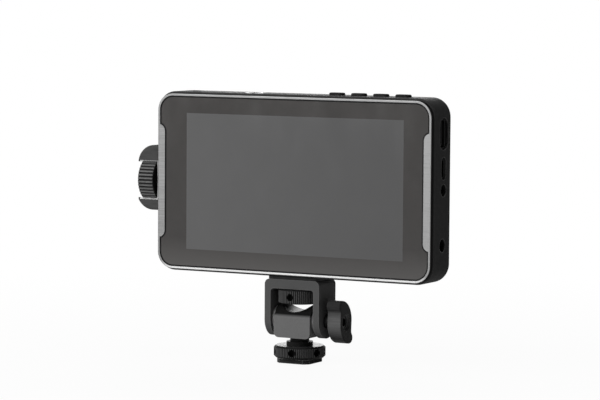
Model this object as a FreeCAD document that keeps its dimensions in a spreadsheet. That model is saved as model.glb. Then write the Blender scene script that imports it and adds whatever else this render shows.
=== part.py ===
import FreeCAD, Part
import math
import os
from types import SimpleNamespace

import Sketcher
from FreeCAD import Placement, Rotation, Vector

# Camera field monitor on a tilting cold-shoe bracket, in millimetres.
# X runs to the right of the screen, Y away from the viewer, Z up.
# The origin is the centre of the shoe plate's bottom face, on the stud axis.

SIZES = {
    # Shoe plate, stud and lock wheel
    "shoe_side": 18.2,
    "shoe_thick": 2.2,
    "shoe_corner": 2.4,
    "shoe_floor": 0.6,
    "shoe_gap": 0.3,
    "stud_radius": 4.8,
    "lock_radius": 12.9,
    "lock_thick": 6.1,
    "lock_bevel": 1.0,
    "lock_hole": 1.9,
    "lock_hole_depth": 3.2,
    "lock_turn": 40.6,
    "lock_grooves": 78,
    "lock_holes": 6,
    "lock_groove": 0.3,
    "collar_radius": 6.6,
    "collar_height": 1.9,
    "collar_gap": 2.2,
    # Swivel and tilt block
    "swivel_radius": 6.2,
    "swivel_thick": 2.4,
    "ring_radius": 7.4,
    "ring_thick": 1.5,
    "block_width": 20.2,
    "block_depth": 17.2,
    "block_below": 8.7,
    "block_above": 3.4,
    "block_round": 1.8,
    "block_corner": 2.6,
    "knuckle_gap": 0.3,
    "groove_radius": 11.5,
    "groove_floor": 4.1,
    # Yoke, pad and pivot
    "yoke_width": 30.6,
    "yoke_depth": 17.5,
    "yoke_rise": 20.3,
    "yoke_bar": 4.6,
    "leg_thick": 3.3,
    "yoke_corner": 2.6,
    "window_corner": 1.6,
    "pad_thick": 1.3,
    "pad_width": 28.0,
    "pad_depth": 16.6,
    "pad_corner": 2.0,
    "washer_radius": 6.6,
    "bolt_radius": 2.5,
    "bolt_head": 4.6,
    "bolt_head_thick": 2.0,
    # Clamp lever
    "lever_stand": 3.2,
    "lever_boss": 3.75,
    "lever_thick": 7.7,
    "lever_arc": 10.2,
    "lever_side": 4.2,
    "lever_lift": 0.8,
    "lever_tip": 2.8,
    "lever_waist": 2.4,
    "lever_hook": 42.0,
    "lever_round": 0.7,
    "lever_recess": 4.2,
    "lever_recess_depth": 1.6,
    "insert_radius": 3.4,
    "insert_socket": 2.2,
    "insert_socket_depth": 1.2,
    # Mount screw and thumb wheel
    "thumb_radius": 10.75,
    "thumb_thick": 6.9,
    "thumb_gap": 0.5,
    "thumb_bevel": 0.5,
    "thumb_hole": 1.8,
    "thumb_hole_depth": 3.0,
    "thumb_grooves": 68,
    "thumb_holes": 4,
    "thumb_groove": 0.3,
    "screw_radius": 3.175,
    "screw_reach": 5.6,
    "dome_radius": 5.4,
    "dome_height": 0.4,
    # Monitor body
    "body_width": 155.4,
    "body_height": 90.4,
    "body_depth": 20.4,
    "body_corner": 9.5,
    "rear_round": 1.8,
    "case_proud": 0.9,
    "case_edge": 0.8,
    "wall": 2.0,
    "frame_thick": 2.2,
    "frame_round": 0.5,
    "rim": 1.2,
    "grip_width": 4.1,
    "grip_half": 25.0,
    "grip_round": 3.6,
    "glass_gap": 0.75,
    "glass_drop": 0.3,
    "gasket_drop": 0.35,
    "glass_thick": 1.1,
    "ledge": 2.0,
    "lcd_inset_x": 14.2,
    "lcd_inset_z": 8.4,
    "lcd_thick": 2.2,
    "backlight_thick": 1.6,
    "mid_thick": 1.0,
    "mid_margin": 2.3,
    # Case bosses and screws
    "boss_inset_x": 9.2,
    "boss_inset_z": 6.6,
    "boss_radius": 3.4,
    "case_screw": 1.25,
    "case_head": 2.4,
    "case_head_thick": 1.5,
    # Boards
    "board_inset_left": 22.7,
    "board_inset_right": 5.7,
    "board_inset_z": 12.2,
    "board_thick": 1.6,
    "board_front": 4.2,
    "post_inset_left": 5.0,
    "post_inset_right": 20.0,
    "post_inset_z": 4.0,
    "post_radius": 2.6,
    "board_screw": 1.0,
    "board_head": 2.0,
    "board_head_thick": 1.2,
    "chip_side": 15.0,
    "chip_thick": 1.2,
    "chip_x": 18.0,
    "chip_z": -12.0,
    # Side ports
    "port_y": 1.7,
    "hdmi_inset": 17.3,
    "hdmi_recess_long": 15.6,
    "hdmi_recess_high": 9.6,
    "hdmi_recess_depth": 0.9,
    "hdmi_long": 14.2,
    "hdmi_high": 5.0,
    "hdmi_lip": 0.5,
    "hdmi_deep": 11.0,
    "usb_step": 16.8,
    "usb_recess_long": 11.1,
    "usb_recess_high": 4.9,
    "usb_long": 9.0,
    "usb_high": 3.3,
    "usb_lip": 0.35,
    "usb_deep": 8.0,
    "audio_step": 10.6,
    "audio_radius": 3.0,
    "audio_bore": 1.8,
    "audio_deep": 12.0,
    "dc_inset": 18.9,
    "dc_y": 1.0,
    "dc_radius": 3.2,
    "dc_bore": 2.8,
    "dc_pin": 0.9,
    "dc_deep": 11.0,
    "socket_back": 0.6,
    # Display ribbon
    "ribbon_x": -32.0,
    "ribbon_width": 20.0,
    "ribbon_thick": 0.3,
    "ribbon_drop": 1.6,
    "ribbon_socket_high": 3.0,
    # Top keys
    "key_count": 4,
    "key_inset": 21.25,
    "key_pitch": 12.15,
    "key_long": 8.2,
    "key_deep": 4.8,
    "key_corner": 2.2,
    "key_proud": 1.3,
    "key_round": 0.7,
    "key_play": 0.2,
    "key_flange": 0.8,
    "key_flange_thick": 0.8,
    "key_stem": 1.3,
    "key_stem_long": 0.9,
    "key_travel": 0.5,
    "switch_side": 4.6,
    "switch_high": 2.0,
    "switch_dome": 0.9,
    "switch_dome_high": 0.5,
    "strip_thick": 1.2,
    "strip_half": 2.9,
    "strip_over": 7.0,
    "lug_thick": 1.8,
    "lug_width": 4.0,
    "power_inset": 17.7,
    "power_radius": 2.2,
    "power_proud": 0.3,
    "power_board_half": 4.6,
    # Threaded inserts
    "insert_out": 4.8,
    "insert_long": 7.0,
    "insert_boss": 6.4,
    "top_insert_x": -26.5,
    # Dial, encoder and guard
    "dial_radius": 11.5,
    "dial_length": 8.7,
    "dial_gap": 1.6,
    "dial_lift": -0.1,
    "dial_round": 0.4,
    "dial_ribs": 40,
    "dial_rib": 0.5,
    "dial_cup": 7.2,
    "dial_cup_depth": 2.6,
    "dial_cap": 6.8,
    "dial_cap_thick": 0.8,
    "shaft_radius": 3.0,
    "shaft_in_dial": 5.0,
    "bushing_radius": 4.0,
    "nut_radius": 6.2,
    "nut_thick": 1.8,
    "encoder_side": 12.0,
    "encoder_deep": 6.6,
    "encoder_wall": 1.0,
    "plunger_radius": 4.2,
    "plunger_thick": 1.4,
    "push_travel": 0.6,
    "guard_base": 0.8,
    "guard_inner": 9.1,
    "guard_outer": 16.45,
    "guard_rise": 1.3,
    "guard_reach": 11.9,
    "guard_half_depth": 8.6,
    "guard_corner": 9.6,
    "guard_lip": 0.9,
    "guard_bevel": 0.7,
    "guard_clear": 0.5,
    # Battery plate, contacts and latch
    "plate_width": 43.0,
    "plate_height": 74.0,
    "plate_corner": 3.0,
    "plate_thick": 2.6,
    "rail_width": 2.6,
    "rail_high": 4.0,
    "lip_width": 1.6,
    "lip_thick": 1.4,
    "lip_long": 16.0,
    "lip_z": 20.0,
    "contact_z": -27.0,
    "contact_width": 20.0,
    "contact_high": 7.0,
    "contact_proud": 3.4,
    "blade_pitch": 6.0,
    "blade_wide": 1.0,
    "blade_long": 4.0,
    "latch_x": 0.0,
    "latch_z": 28.0,
    "latch_width": 12.0,
    "latch_high": 6.0,
    "latch_proud": 2.0,
    "latch_flange": 1.2,
    "latch_flange_thick": 0.7,
    "latch_play": 0.25,
    "plate_screw_x": 14.0,
    "plate_screw_z": 17.0,
    "plate_screw": 1.25,
    "plate_head": 2.3,
    "plate_head_thick": 1.3,
    # Vents in the back
    "vent_x": 49.0,
    "vent_count": 7,
    "vent_pitch": 5.0,
    "vent_long": 24.0,
    "vent_high": 1.8,
    # Fits
    "running_gap": 0.06,
    "seat_gap": 0.02,
}


class Size:
    """A number together with the sheet expression that gives it."""

    def __init__(self, value, text):
        self.value = float(value)
        self.text = text

    def __add__(self, other):
        other = as_size(other)
        return Size(self.value + other.value, f"({self.text} + {other.text})")

    def __radd__(self, other):
        return as_size(other) + self

    def __sub__(self, other):
        other = as_size(other)
        return Size(self.value - other.value, f"({self.text} - {other.text})")

    def __rsub__(self, other):
        return as_size(other) - self

    def __mul__(self, other):
        other = as_size(other)
        return Size(self.value * other.value, f"({self.text} * {other.text})")

    def __rmul__(self, other):
        return as_size(other) * self

    def __truediv__(self, other):
        other = as_size(other)
        return Size(self.value / other.value, f"({self.text} / {other.text})")

    def __neg__(self):
        return Size(-self.value, f"(0 - {self.text})")


def as_size(number):
    if isinstance(number, Size):
        return number
    return Size(number, repr(float(number)))


def root(size):
    return Size(math.sqrt(size.value), f"sqrt({size.text})")


def cosine(degrees):
    return Size(math.cos(math.radians(degrees.value)), f"cos({degrees.text} * 1 deg)")


def sine(degrees):
    return Size(math.sin(math.radians(degrees.value)), f"sin({degrees.text} * 1 deg)")


doc = FreeCAD.newDocument("field_monitor")
sheet = doc.addObject("Spreadsheet::Sheet", "Sizes")
for row, (alias, number) in enumerate(SIZES.items(), start=1):
    sheet.set(f"A{row}", alias)
    sheet.set(f"B{row}", str(number))
    sheet.setAlias(f"B{row}", alias)
doc.recompute()
s = SimpleNamespace(**{alias: Size(number, f"Sizes.{alias}") for alias, number in SIZES.items()})
ZERO = as_size(0)
pieces = []


# Helpers for bound objects

def bind(item, **sizes):
    for name, size in sizes.items():
        item.setExpression(name, as_size(size).text)


def place(item, x=ZERO, y=ZERO, z=ZERO):
    for axis, size in zip("xyz", (x, y, z)):
        item.setExpression(f"Placement.Base.{axis}", as_size(size).text)


def keep(item, label):
    item.Label = label
    pieces.append(item)
    return item


def box(x, y, z, dx, dy, dz):
    item = doc.addObject("Part::Box", "block")
    bind(item, Length=dx, Width=dy, Height=dz)
    place(item, x, y, z)
    return item


TURNS = {
    "x": Rotation(Vector(0, 1, 0), 90),
    "y": Rotation(Vector(1, 0, 0), -90),
    "z": Rotation(),
}


def rod(axis, x, y, z, radius, length):
    item = doc.addObject("Part::Cylinder", "rod")
    item.Placement = Placement(Vector(), TURNS[axis])
    bind(item, Radius=radius, Height=length)
    place(item, x, y, z)
    return item


def hexagon(axis, x, y, z, circumradius, length):
    item = doc.addObject("Part::Prism", "hexagon")
    item.Polygon = 6
    item.Placement = Placement(Vector(), TURNS[axis])
    bind(item, Circumradius=circumradius, Height=length)
    place(item, x, y, z)
    return item


def fuse(*items):
    item = doc.addObject("Part::MultiFuse", "fuse")
    item.Shapes = list(items)
    return item


def cut(base, *tools):
    item = doc.addObject("Part::Cut", "cut")
    item.Base = base
    item.Tool = tools[0] if len(tools) == 1 else fuse(*tools)
    return item


def group(items):
    item = doc.addObject("Part::Compound", "group")
    item.Links = list(items)
    return item


# Helpers for sketched bodies

NORMAL_SIGN = {"XY_Plane": 1, "XZ_Plane": -1, "YZ_Plane": 1}


def new_body(name):
    return doc.addObject("PartDesign::Body", name)


def origin_part(body, role):
    return [part for part in body.Origin.OriginFeatures if part.Role == role][0]


def sketch_on(body, role, at=ZERO):
    sketch = body.newObject("Sketcher::SketchObject", "sketch")
    sketch.AttachmentSupport = [(origin_part(body, role), "")]
    sketch.MapMode = "FlatFace"
    offset = as_size(at) if NORMAL_SIGN[role] > 0 else -as_size(at)
    bind(sketch, **{"AttachmentOffset.Base.z": offset})
    return sketch


def pin(sketch, kind, geometry, point, size):
    size = as_size(size)
    if abs(size.value) < 1e-9:
        axis = -2 if kind == "DistanceX" else -1
        sketch.addConstraint(Sketcher.Constraint("PointOnObject", geometry, point, axis))
        return
    index = sketch.addConstraint(Sketcher.Constraint(kind, -1, 1, geometry, point, size.value))
    bind(sketch, **{f"Constraints[{index}]": size})


def draw_circle(sketch, u, v, radius):
    u, v, radius = as_size(u), as_size(v), as_size(radius)
    circle = Part.Circle(Vector(u.value, v.value, 0), Vector(0, 0, 1), radius.value)
    index = sketch.addGeometry(circle, False)
    pin(sketch, "DistanceX", index, 3, u)
    pin(sketch, "DistanceY", index, 3, v)
    number = sketch.addConstraint(Sketcher.Constraint("Radius", index, radius.value))
    bind(sketch, **{f"Constraints[{number}]": radius})


def draw_outline(sketch, start, steps):
    """Closed profile; each step is (u, v) for a line or (u, v, centre_u, centre_v, sense) for an arc."""
    points = [start] + [step[:2] for step in steps]
    ends = []
    for begin, step in zip(points, steps):
        u0, v0 = (as_size(number).value for number in begin)
        u1, v1 = (as_size(number).value for number in step[:2])
        if len(step) == 2:
            line = Part.LineSegment(Vector(u0, v0, 0), Vector(u1, v1, 0))
            ends.append((sketch.addGeometry(line, False), 1, 2))
            continue
        cu, cv = (as_size(number).value for number in step[2:4])
        first = math.atan2(v0 - cv, u0 - cu)
        last = math.atan2(v1 - cv, u1 - cu)
        if step[4] < 0:
            first, last = last, first
        circle = Part.Circle(Vector(cu, cv, 0), Vector(0, 0, 1), math.hypot(u0 - cu, v0 - cv))
        index = sketch.addGeometry(Part.ArcOfCircle(circle, first, last), False)
        ends.append((index, 1, 2) if step[4] > 0 else (index, 2, 1))
    for number, (index, _, tail) in enumerate(ends):
        follower, head, _ = ends[(number + 1) % len(ends)]
        sketch.addConstraint(Sketcher.Constraint("Coincident", index, tail, follower, head))
    for (index, _, tail), step in zip(ends, steps):
        if len(step) == 2:
            pin(sketch, "DistanceX", index, tail, step[0])
            pin(sketch, "DistanceY", index, tail, step[1])
            continue
        pin(sketch, "DistanceX", index, 3, step[2])
        pin(sketch, "DistanceY", index, 3, step[3])
        across = abs(as_size(step[0] - step[2]).value)
        along = abs(as_size(step[1] - step[3]).value)
        if across > along:
            pin(sketch, "DistanceY", index, tail, step[1])
        else:
            pin(sketch, "DistanceX", index, tail, step[0])


def draw_rounded(sketch, u, v, width, height, radius):
    left, right = u - width / 2, u + width / 2
    low, high = v - height / 2, v + height / 2
    draw_outline(sketch, (left + radius, low), [
        (right - radius, low),
        (right, low + radius, right - radius, low + radius, 1),
        (right, high - radius),
        (right - radius, high, right - radius, high - radius, 1),
        (left + radius, high),
        (left, high - radius, left + radius, high - radius, 1),
        (left, low + radius),
        (left + radius, low, left + radius, low + radius, 1),
    ])


def draw_racetrack(sketch, u, v, width, height):
    """Slot shape with round ends, long along v."""
    radius = width / 2
    low, high = v - height / 2 + radius, v + height / 2 - radius
    draw_outline(sketch, (u + radius, low), [
        (u + radius, high),
        (u - radius, high, u, high, 1),
        (u - radius, low),
        (u + radius, low, u, low, 1),
    ])


def extrude(body, sketch, length, kind="Pad", backward=False, symmetric=False):
    feature = body.newObject(f"PartDesign::{kind}", kind.lower())
    feature.Profile = sketch
    bind(feature, Length=length)
    feature.Reversed = backward
    if symmetric:
        feature.SideType = "Symmetric"
    return feature


def slab(role, at, thickness, draw, lift=ZERO):
    """Body with one profile, from the level `at` along the positive axis."""
    body = new_body("slab")
    sketch = sketch_on(body, role, at)
    draw(sketch)
    extrude(body, sketch, thickness, backward=NORMAL_SIGN[role] < 0)
    place(body, z=lift)
    return body


def soften(body, kind, size, wanted):
    """Round or bevel the edges of the body's last shape that `wanted` picks."""
    doc.recompute()
    tip = body.Tip
    names = [f"Edge{n}" for n, edge in enumerate(tip.Shape.Edges, start=1) if wanted(edge)]
    feature = body.newObject(f"PartDesign::{kind}", kind.lower())
    feature.Base = (tip, names)
    bind(feature, **{"Radius" if kind == "Fillet" else "Size": size})
    return feature


def near(number, size):
    return abs(number - as_size(size).value) < 1e-4


def polar(body, original, role, count):
    pattern = body.newObject("PartDesign::PolarPattern", "pattern")
    pattern.Originals = [original]
    pattern.Axis = (origin_part(body, role), [""])
    pattern.Angle = 360
    bind(pattern, Occurrences=count)
    body.Tip = pattern
    return pattern


# Heights of the stack above the floor of the shoe

lock_low = s.shoe_thick + s.shoe_gap
lock_top = lock_low + s.lock_thick
collar_top = lock_top + s.collar_height
block_low = collar_top + s.collar_gap
pivot_z = block_low + s.block_below
yoke_top = pivot_z + s.yoke_rise
window_top = yoke_top - s.yoke_bar
thumb_top = window_top - s.thumb_gap
thumb_low = thumb_top - s.thumb_thick
monitor_low = yoke_top + s.pad_thick
monitor_z = monitor_low + s.body_height / 2

# Levels of the monitor in depth and around its centre

half_w = s.body_width / 2
half_h = s.body_height / 2
front_y = -s.body_depth / 2
rear_y = s.body_depth / 2
frame_back = front_y + s.frame_thick
glass_back = front_y + s.glass_drop + s.glass_thick
lcd_back = glass_back + s.lcd_thick
light_back = lcd_back + s.backlight_thick
mid_back = light_back + s.mid_thick
inner_rear = rear_y - s.wall
inner_w = half_w - s.wall
inner_h = half_h - s.wall
frame_half_w = half_w - s.case_proud
frame_half_h = half_h - s.case_proud
frame_corner = s.body_corner - s.case_proud
board_back = s.board_front + s.board_thick
lcd_width = s.body_width - 2 * s.lcd_inset_x
lcd_height = s.body_height - 2 * s.lcd_inset_z
boss_x = half_w - s.boss_inset_x
boss_z = half_h - s.boss_inset_z
board_left = s.board_inset_left - half_w
board_right = half_w - s.board_inset_right
board_half = half_h - s.board_inset_z
post_left = board_left + s.post_inset_left
post_right = board_right - s.post_inset_right
post_z = board_half - s.post_inset_z
hdmi_place = half_h - s.hdmi_inset
usb_place = hdmi_place - s.usb_step
audio_place = usb_place - s.audio_step
dc_place = s.dc_inset - half_h
dial_z = monitor_z + s.dial_lift
key_first = half_w - s.key_inset - (s.key_count - 1) * s.key_pitch
power_x = s.power_inset - half_w

# Shoe plate with cut corners, blind seat for the stud in the middle

shoe_half = s.shoe_side / 2
shoe_cut = shoe_half - s.shoe_corner


def draw_shoe(sketch):
    corners = [
        (shoe_cut, -shoe_half), (shoe_half, -shoe_cut), (shoe_half, shoe_cut), (shoe_cut, shoe_half),
        (-shoe_cut, shoe_half), (-shoe_half, shoe_cut), (-shoe_half, -shoe_cut), (-shoe_cut, -shoe_half),
    ]
    draw_outline(sketch, corners[-1], corners)


shoe = slab("XY_Plane", ZERO, s.shoe_thick, draw_shoe)
sketch = sketch_on(shoe, "XY_Plane", s.shoe_thick)
draw_circle(sketch, ZERO, ZERO, s.stud_radius + s.seat_gap)
extrude(shoe, sketch, s.shoe_thick - s.shoe_floor, "Pocket")
keep(shoe, "shoe_plate")

# Stud with its swivel head

head_low = block_low + s.ring_thick + s.running_gap
stud = fuse(
    rod("z", ZERO, ZERO, s.shoe_floor, s.stud_radius, head_low - s.shoe_floor),
    rod("z", ZERO, ZERO, head_low, s.swivel_radius, s.swivel_thick),
)
keep(stud, "shoe_stud")


# Knurled wheels

def knurled_wheel(radius, thick, bevel, bore, groove, grooves, hole, hole_depth, holes):
    body = new_body("wheel")
    sketch = sketch_on(body, "XY_Plane")
    draw_circle(sketch, ZERO, ZERO, radius)
    extrude(body, sketch, thick)
    soften(body, "Chamfer", bevel, lambda edge: True)
    sketch = sketch_on(body, "XY_Plane", thick)
    draw_circle(sketch, radius, ZERO, groove)
    line = extrude(body, sketch, thick, "Pocket")
    polar(body, line, "Z_Axis", grooves)
    sketch = sketch_on(body, "YZ_Plane", radius)
    draw_circle(sketch, ZERO, thick / 2, hole)
    socket = extrude(body, sketch, hole_depth, "Pocket")
    polar(body, socket, "Z_Axis", holes)
    sketch = sketch_on(body, "XY_Plane", thick)
    draw_circle(sketch, ZERO, ZERO, bore)
    extrude(body, sketch, thick, "Pocket")
    return body


lock_bore = s.stud_radius + s.running_gap
lock_ring = knurled_wheel(s.lock_radius, s.lock_thick, s.lock_bevel, lock_bore,
                          s.lock_groove, s.lock_grooves, s.lock_hole, s.lock_hole_depth,
                          s.lock_holes)
place(lock_ring, z=lock_low)
lock_ring.setExpression("Placement.Rotation.Angle", f"{s.lock_turn.text} * 1 deg")
collar = cut(
    rod("z", ZERO, ZERO, lock_top, s.collar_radius, s.collar_height),
    rod("z", ZERO, ZERO, lock_top, lock_bore, s.collar_height),
)
keep(fuse(lock_ring, collar), "lock_wheel")

thumb = knurled_wheel(s.thumb_radius, s.thumb_thick, s.thumb_bevel, s.screw_radius + s.seat_gap,
                      s.thumb_groove, s.thumb_grooves, s.thumb_hole, s.thumb_hole_depth,
                      s.thumb_holes)
place(thumb, z=thumb_low)
keep(thumb, "thumb_wheel")

# Mount screw: threaded rod with a shallow domed head under the wheel

dome_sphere = (s.dome_radius * s.dome_radius + s.dome_height * s.dome_height) / (2 * s.dome_height)
dome = doc.addObject("Part::Sphere", "dome")
bind(dome, Radius=dome_sphere)
dome.Angle1 = -90
dome.setExpression("Angle2", f"asin({(s.dome_height / dome_sphere).text} - 1)")
place(dome, z=thumb_low - s.dome_height + dome_sphere)
screw_rod = rod("z", ZERO, ZERO, thumb_low, s.screw_radius, monitor_low + s.screw_reach - thumb_low)
keep(fuse(dome, screw_rod), "mount_screw")

# Tilt block: flat-faced foot and a knuckle round the tilt axis, with a groove under the screw head

block = new_body("block")
half_block = s.block_depth / 2
block_top = pivot_z + s.block_above
block_shoulder = block_top - s.block_round
sketch = sketch_on(block, "YZ_Plane")
draw_outline(sketch, (-half_block, block_low), [
    (half_block, block_low),
    (half_block, block_shoulder),
    (half_block - s.block_round, block_top, half_block - s.block_round, block_shoulder, 1),
    (s.block_round - half_block, block_top),
    (-half_block, block_shoulder, s.block_round - half_block, block_shoulder, 1),
    (-half_block, block_low),
])
extrude(block, sketch, s.block_width, symmetric=True)
soften(block, "Fillet", s.block_corner, lambda edge: (
    near(edge.CenterOfMass.z, block_low) and near(abs(edge.CenterOfMass.x), s.block_width / 2)
))
knuckle_radius = thumb_low - pivot_z - s.knuckle_gap
groove_z = pivot_z + s.groove_floor + s.groove_radius
knuckle = cut(
    rod("x", -s.block_width / 2, ZERO, pivot_z, knuckle_radius, s.block_width),
    rod("y", ZERO, -half_block, groove_z, s.groove_radius, s.block_depth),
)
head_room = s.ring_thick + s.swivel_thick + 2 * s.running_gap
block_cut = cut(
    fuse(block, knuckle),
    rod("z", ZERO, ZERO, block_low, s.ring_radius + s.seat_gap, s.ring_thick),
    rod("z", ZERO, ZERO, block_low, s.swivel_radius + s.running_gap, head_room),
    rod("x", -s.block_width / 2, ZERO, pivot_z, s.bolt_radius + s.running_gap, s.block_width),
)
keep(block_cut, "tilt_block")

swivel_ring = cut(
    rod("z", ZERO, ZERO, block_low, s.ring_radius, s.ring_thick),
    rod("z", ZERO, ZERO, block_low, s.stud_radius + s.running_gap, s.ring_thick),
)
keep(swivel_ring, "swivel_ring")

# Yoke: arch in front view, legs rounded about the tilt axis in side view

half_yoke = s.yoke_width / 2
leg_inner = half_yoke - s.leg_thick
leg_radius = s.yoke_depth / 2
leg_low = pivot_z - leg_radius
corner_u = half_yoke - s.yoke_corner
corner_v = yoke_top - s.yoke_corner
window_u = leg_inner - s.window_corner
window_v = window_top - s.window_corner
arch = new_body("arch")
sketch = sketch_on(arch, "XZ_Plane")
draw_outline(sketch, (-half_yoke, leg_low), [
    (-leg_inner, leg_low),
    (-leg_inner, window_v),
    (-window_u, window_top, -window_u, window_v, -1),
    (window_u, window_top),
    (leg_inner, window_v, window_u, window_v, -1),
    (leg_inner, leg_low),
    (half_yoke, leg_low),
    (half_yoke, corner_v),
    (corner_u, yoke_top, corner_u, corner_v, 1),
    (-corner_u, yoke_top),
    (-half_yoke, corner_v, -corner_u, corner_v, 1),
    (-half_yoke, leg_low),
])
extrude(arch, sketch, s.yoke_depth, symmetric=True)
side = new_body("side")
sketch = sketch_on(side, "YZ_Plane")
draw_outline(sketch, (leg_radius, pivot_z), [
    (leg_radius, yoke_top),
    (-leg_radius, yoke_top),
    (-leg_radius, pivot_z),
    (leg_radius, pivot_z, ZERO, pivot_z, 1),
])
extrude(side, sketch, s.yoke_width, symmetric=True)
yoke_form = doc.addObject("Part::Common", "yoke_form")
yoke_form.Base = arch
yoke_form.Tool = side
bolt_hole = s.bolt_radius + s.running_gap
yoke = cut(
    yoke_form,
    rod("x", -half_yoke, ZERO, pivot_z, bolt_hole, s.yoke_width),
    hexagon("x", -half_yoke, ZERO, pivot_z, s.bolt_head + s.seat_gap, s.bolt_head_thick),
    rod("z", ZERO, ZERO, window_top, s.screw_radius + 3 * s.running_gap, s.yoke_bar),
)
keep(yoke, "yoke")


def draw_pad(sketch):
    draw_rounded(sketch, ZERO, ZERO, s.pad_width, s.pad_depth, s.pad_corner)
    draw_circle(sketch, ZERO, ZERO, s.screw_radius + 3 * s.running_gap)


keep(slab("XY_Plane", yoke_top, s.pad_thick, draw_pad), "yoke_pad")

# Pivot hardware

washer_thick = leg_inner - s.block_width / 2


def washer(x):
    return cut(
        rod("x", x, ZERO, pivot_z, s.washer_radius, washer_thick),
        rod("x", x, ZERO, pivot_z, bolt_hole, washer_thick),
    )


keep(group([washer(-leg_inner), washer(s.block_width / 2)]), "friction_washers")

lever_x = half_yoke + s.lever_stand
lever_end = lever_x + s.lever_thick
insert_end = lever_end - s.lever_recess_depth
insert_depth = insert_end - s.insert_socket_depth - s.wall / 2
bolt_start = -half_yoke + s.bolt_head_thick
pivot_bolt = fuse(
    hexagon("x", -half_yoke, ZERO, pivot_z, s.bolt_head, s.bolt_head_thick),
    rod("x", bolt_start, ZERO, pivot_z, s.bolt_radius, insert_depth - s.running_gap - bolt_start),
)
keep(pivot_bolt, "pivot_bolt")

lever_washer = cut(
    rod("x", half_yoke, ZERO, pivot_z, s.lever_boss, s.lever_stand),
    rod("x", half_yoke, ZERO, pivot_z, bolt_hole, s.lever_stand),
)
keep(lever_washer, "lever_washer")

# Clamp lever: S-shaped profile, the same turned half round its axis

tip_v = s.lever_lift + s.lever_arc - s.lever_tip
tip_reach = s.lever_tip + s.lever_waist
hook_u = -s.lever_side - s.lever_tip * cosine(s.lever_hook)
hook_v = tip_v - s.lever_tip * sine(s.lever_hook)
bay_u = -s.lever_side - tip_reach * cosine(s.lever_hook)
bay_v = tip_v - tip_reach * sine(s.lever_hook)
flank = s.lever_arc - s.lever_side
lever = new_body("lever")
sketch = sketch_on(lever, "YZ_Plane", lever_x)
draw_outline(sketch, (flank, s.lever_lift), [
    (-s.lever_side, s.lever_lift + s.lever_arc, -s.lever_side, s.lever_lift, 1),
    (hook_u, hook_v, -s.lever_side, tip_v, 1),
    (bay_u + s.lever_waist, bay_v, bay_u, bay_v, -1),
    (-flank, -s.lever_lift),
    (s.lever_side, -s.lever_lift - s.lever_arc, s.lever_side, -s.lever_lift, 1),
    (-hook_u, -hook_v, s.lever_side, -tip_v, 1),
    (-bay_u - s.lever_waist, -bay_v, -bay_u, -bay_v, -1),
    (flank, s.lever_lift),
])
extrude(lever, sketch, s.lever_thick)
soften(lever, "Fillet", s.lever_round, lambda edge: (
    near(edge.BoundBox.XMin, lever_end) or near(edge.BoundBox.XMax, lever_x)
))
place(lever, z=pivot_z)
lever_cut = cut(
    lever,
    rod("x", lever_x, ZERO, pivot_z, s.insert_radius + s.seat_gap, s.lever_thick),
    rod("x", insert_end, ZERO, pivot_z, s.lever_recess, s.lever_recess_depth),
)
keep(lever_cut, "clamp_lever")

lever_insert = cut(
    rod("x", lever_x, ZERO, pivot_z, s.insert_radius, insert_end - lever_x),
    rod("x", lever_x, ZERO, pivot_z, bolt_hole, insert_depth - lever_x),
    hexagon("x", insert_end - s.insert_socket_depth, ZERO, pivot_z, s.insert_socket, s.insert_socket_depth),
)
keep(lever_insert, "lever_insert")


# Front of the monitor: frame opening, gasket and glass share one outline with different insets

def draw_screen(sketch, inset):
    w = frame_half_w - s.rim - inset
    h = frame_half_h - s.rim - inset
    r = frame_corner - s.rim - inset
    grip = frame_half_w - s.grip_width - inset
    centre = frame_half_w - s.grip_width + s.grip_round
    bend = s.grip_round + inset
    step = centre - w
    notch = s.grip_half + root(bend * bend - step * step)
    draw_outline(sketch, (r - w, -h), [
        (w - r, -h),
        (w, r - h, w - r, r - h, 1),
        (w, -notch),
        (grip, -s.grip_half, centre, -s.grip_half, -1),
        (grip, s.grip_half),
        (w, notch, centre, s.grip_half, -1),
        (w, h - r),
        (w - r, h, w - r, h - r, 1),
        (r - w, h),
        (-w, h - r, r - w, h - r, 1),
        (-w, notch),
        (-grip, s.grip_half, -centre, s.grip_half, -1),
        (-grip, -s.grip_half),
        (-w, -notch, -centre, -s.grip_half, -1),
        (-w, r - h),
        (r - w, -h, r - w, r - h, 1),
    ])


frame = new_body("frame")
sketch = sketch_on(frame, "XZ_Plane", front_y)
draw_rounded(sketch, ZERO, ZERO, 2 * frame_half_w, 2 * frame_half_h, frame_corner)
extrude(frame, sketch, s.frame_thick, backward=True)
soften(frame, "Fillet", s.frame_round, lambda edge: near(edge.BoundBox.YMax, front_y))
sketch = sketch_on(frame, "XZ_Plane", front_y)
draw_screen(sketch, ZERO)
extrude(frame, sketch, glass_back - front_y, "Pocket")
ledge_w = 2 * (frame_half_w - s.grip_width - s.glass_gap - s.ledge)
ledge_h = 2 * (frame_half_h - s.rim - s.glass_gap - s.ledge)
sketch = sketch_on(frame, "XZ_Plane", front_y)
draw_rounded(sketch, ZERO, ZERO, ledge_w, ledge_h, s.plate_corner)
extrude(frame, sketch, s.frame_thick, "Pocket")
place(frame, z=monitor_z)
keep(frame, "front_frame")


def draw_gasket(sketch):
    draw_screen(sketch, s.seat_gap)
    draw_screen(sketch, s.glass_gap)


gasket_front = front_y + s.gasket_drop
gasket = slab("XZ_Plane", gasket_front, glass_back - gasket_front, draw_gasket, monitor_z)
keep(gasket, "glass_gasket")
glass = slab("XZ_Plane", front_y + s.glass_drop, s.glass_thick,
             lambda sketch: draw_screen(sketch, s.glass_gap + s.seat_gap), monitor_z)
keep(glass, "cover_glass")

# Display stack behind the glass

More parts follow.
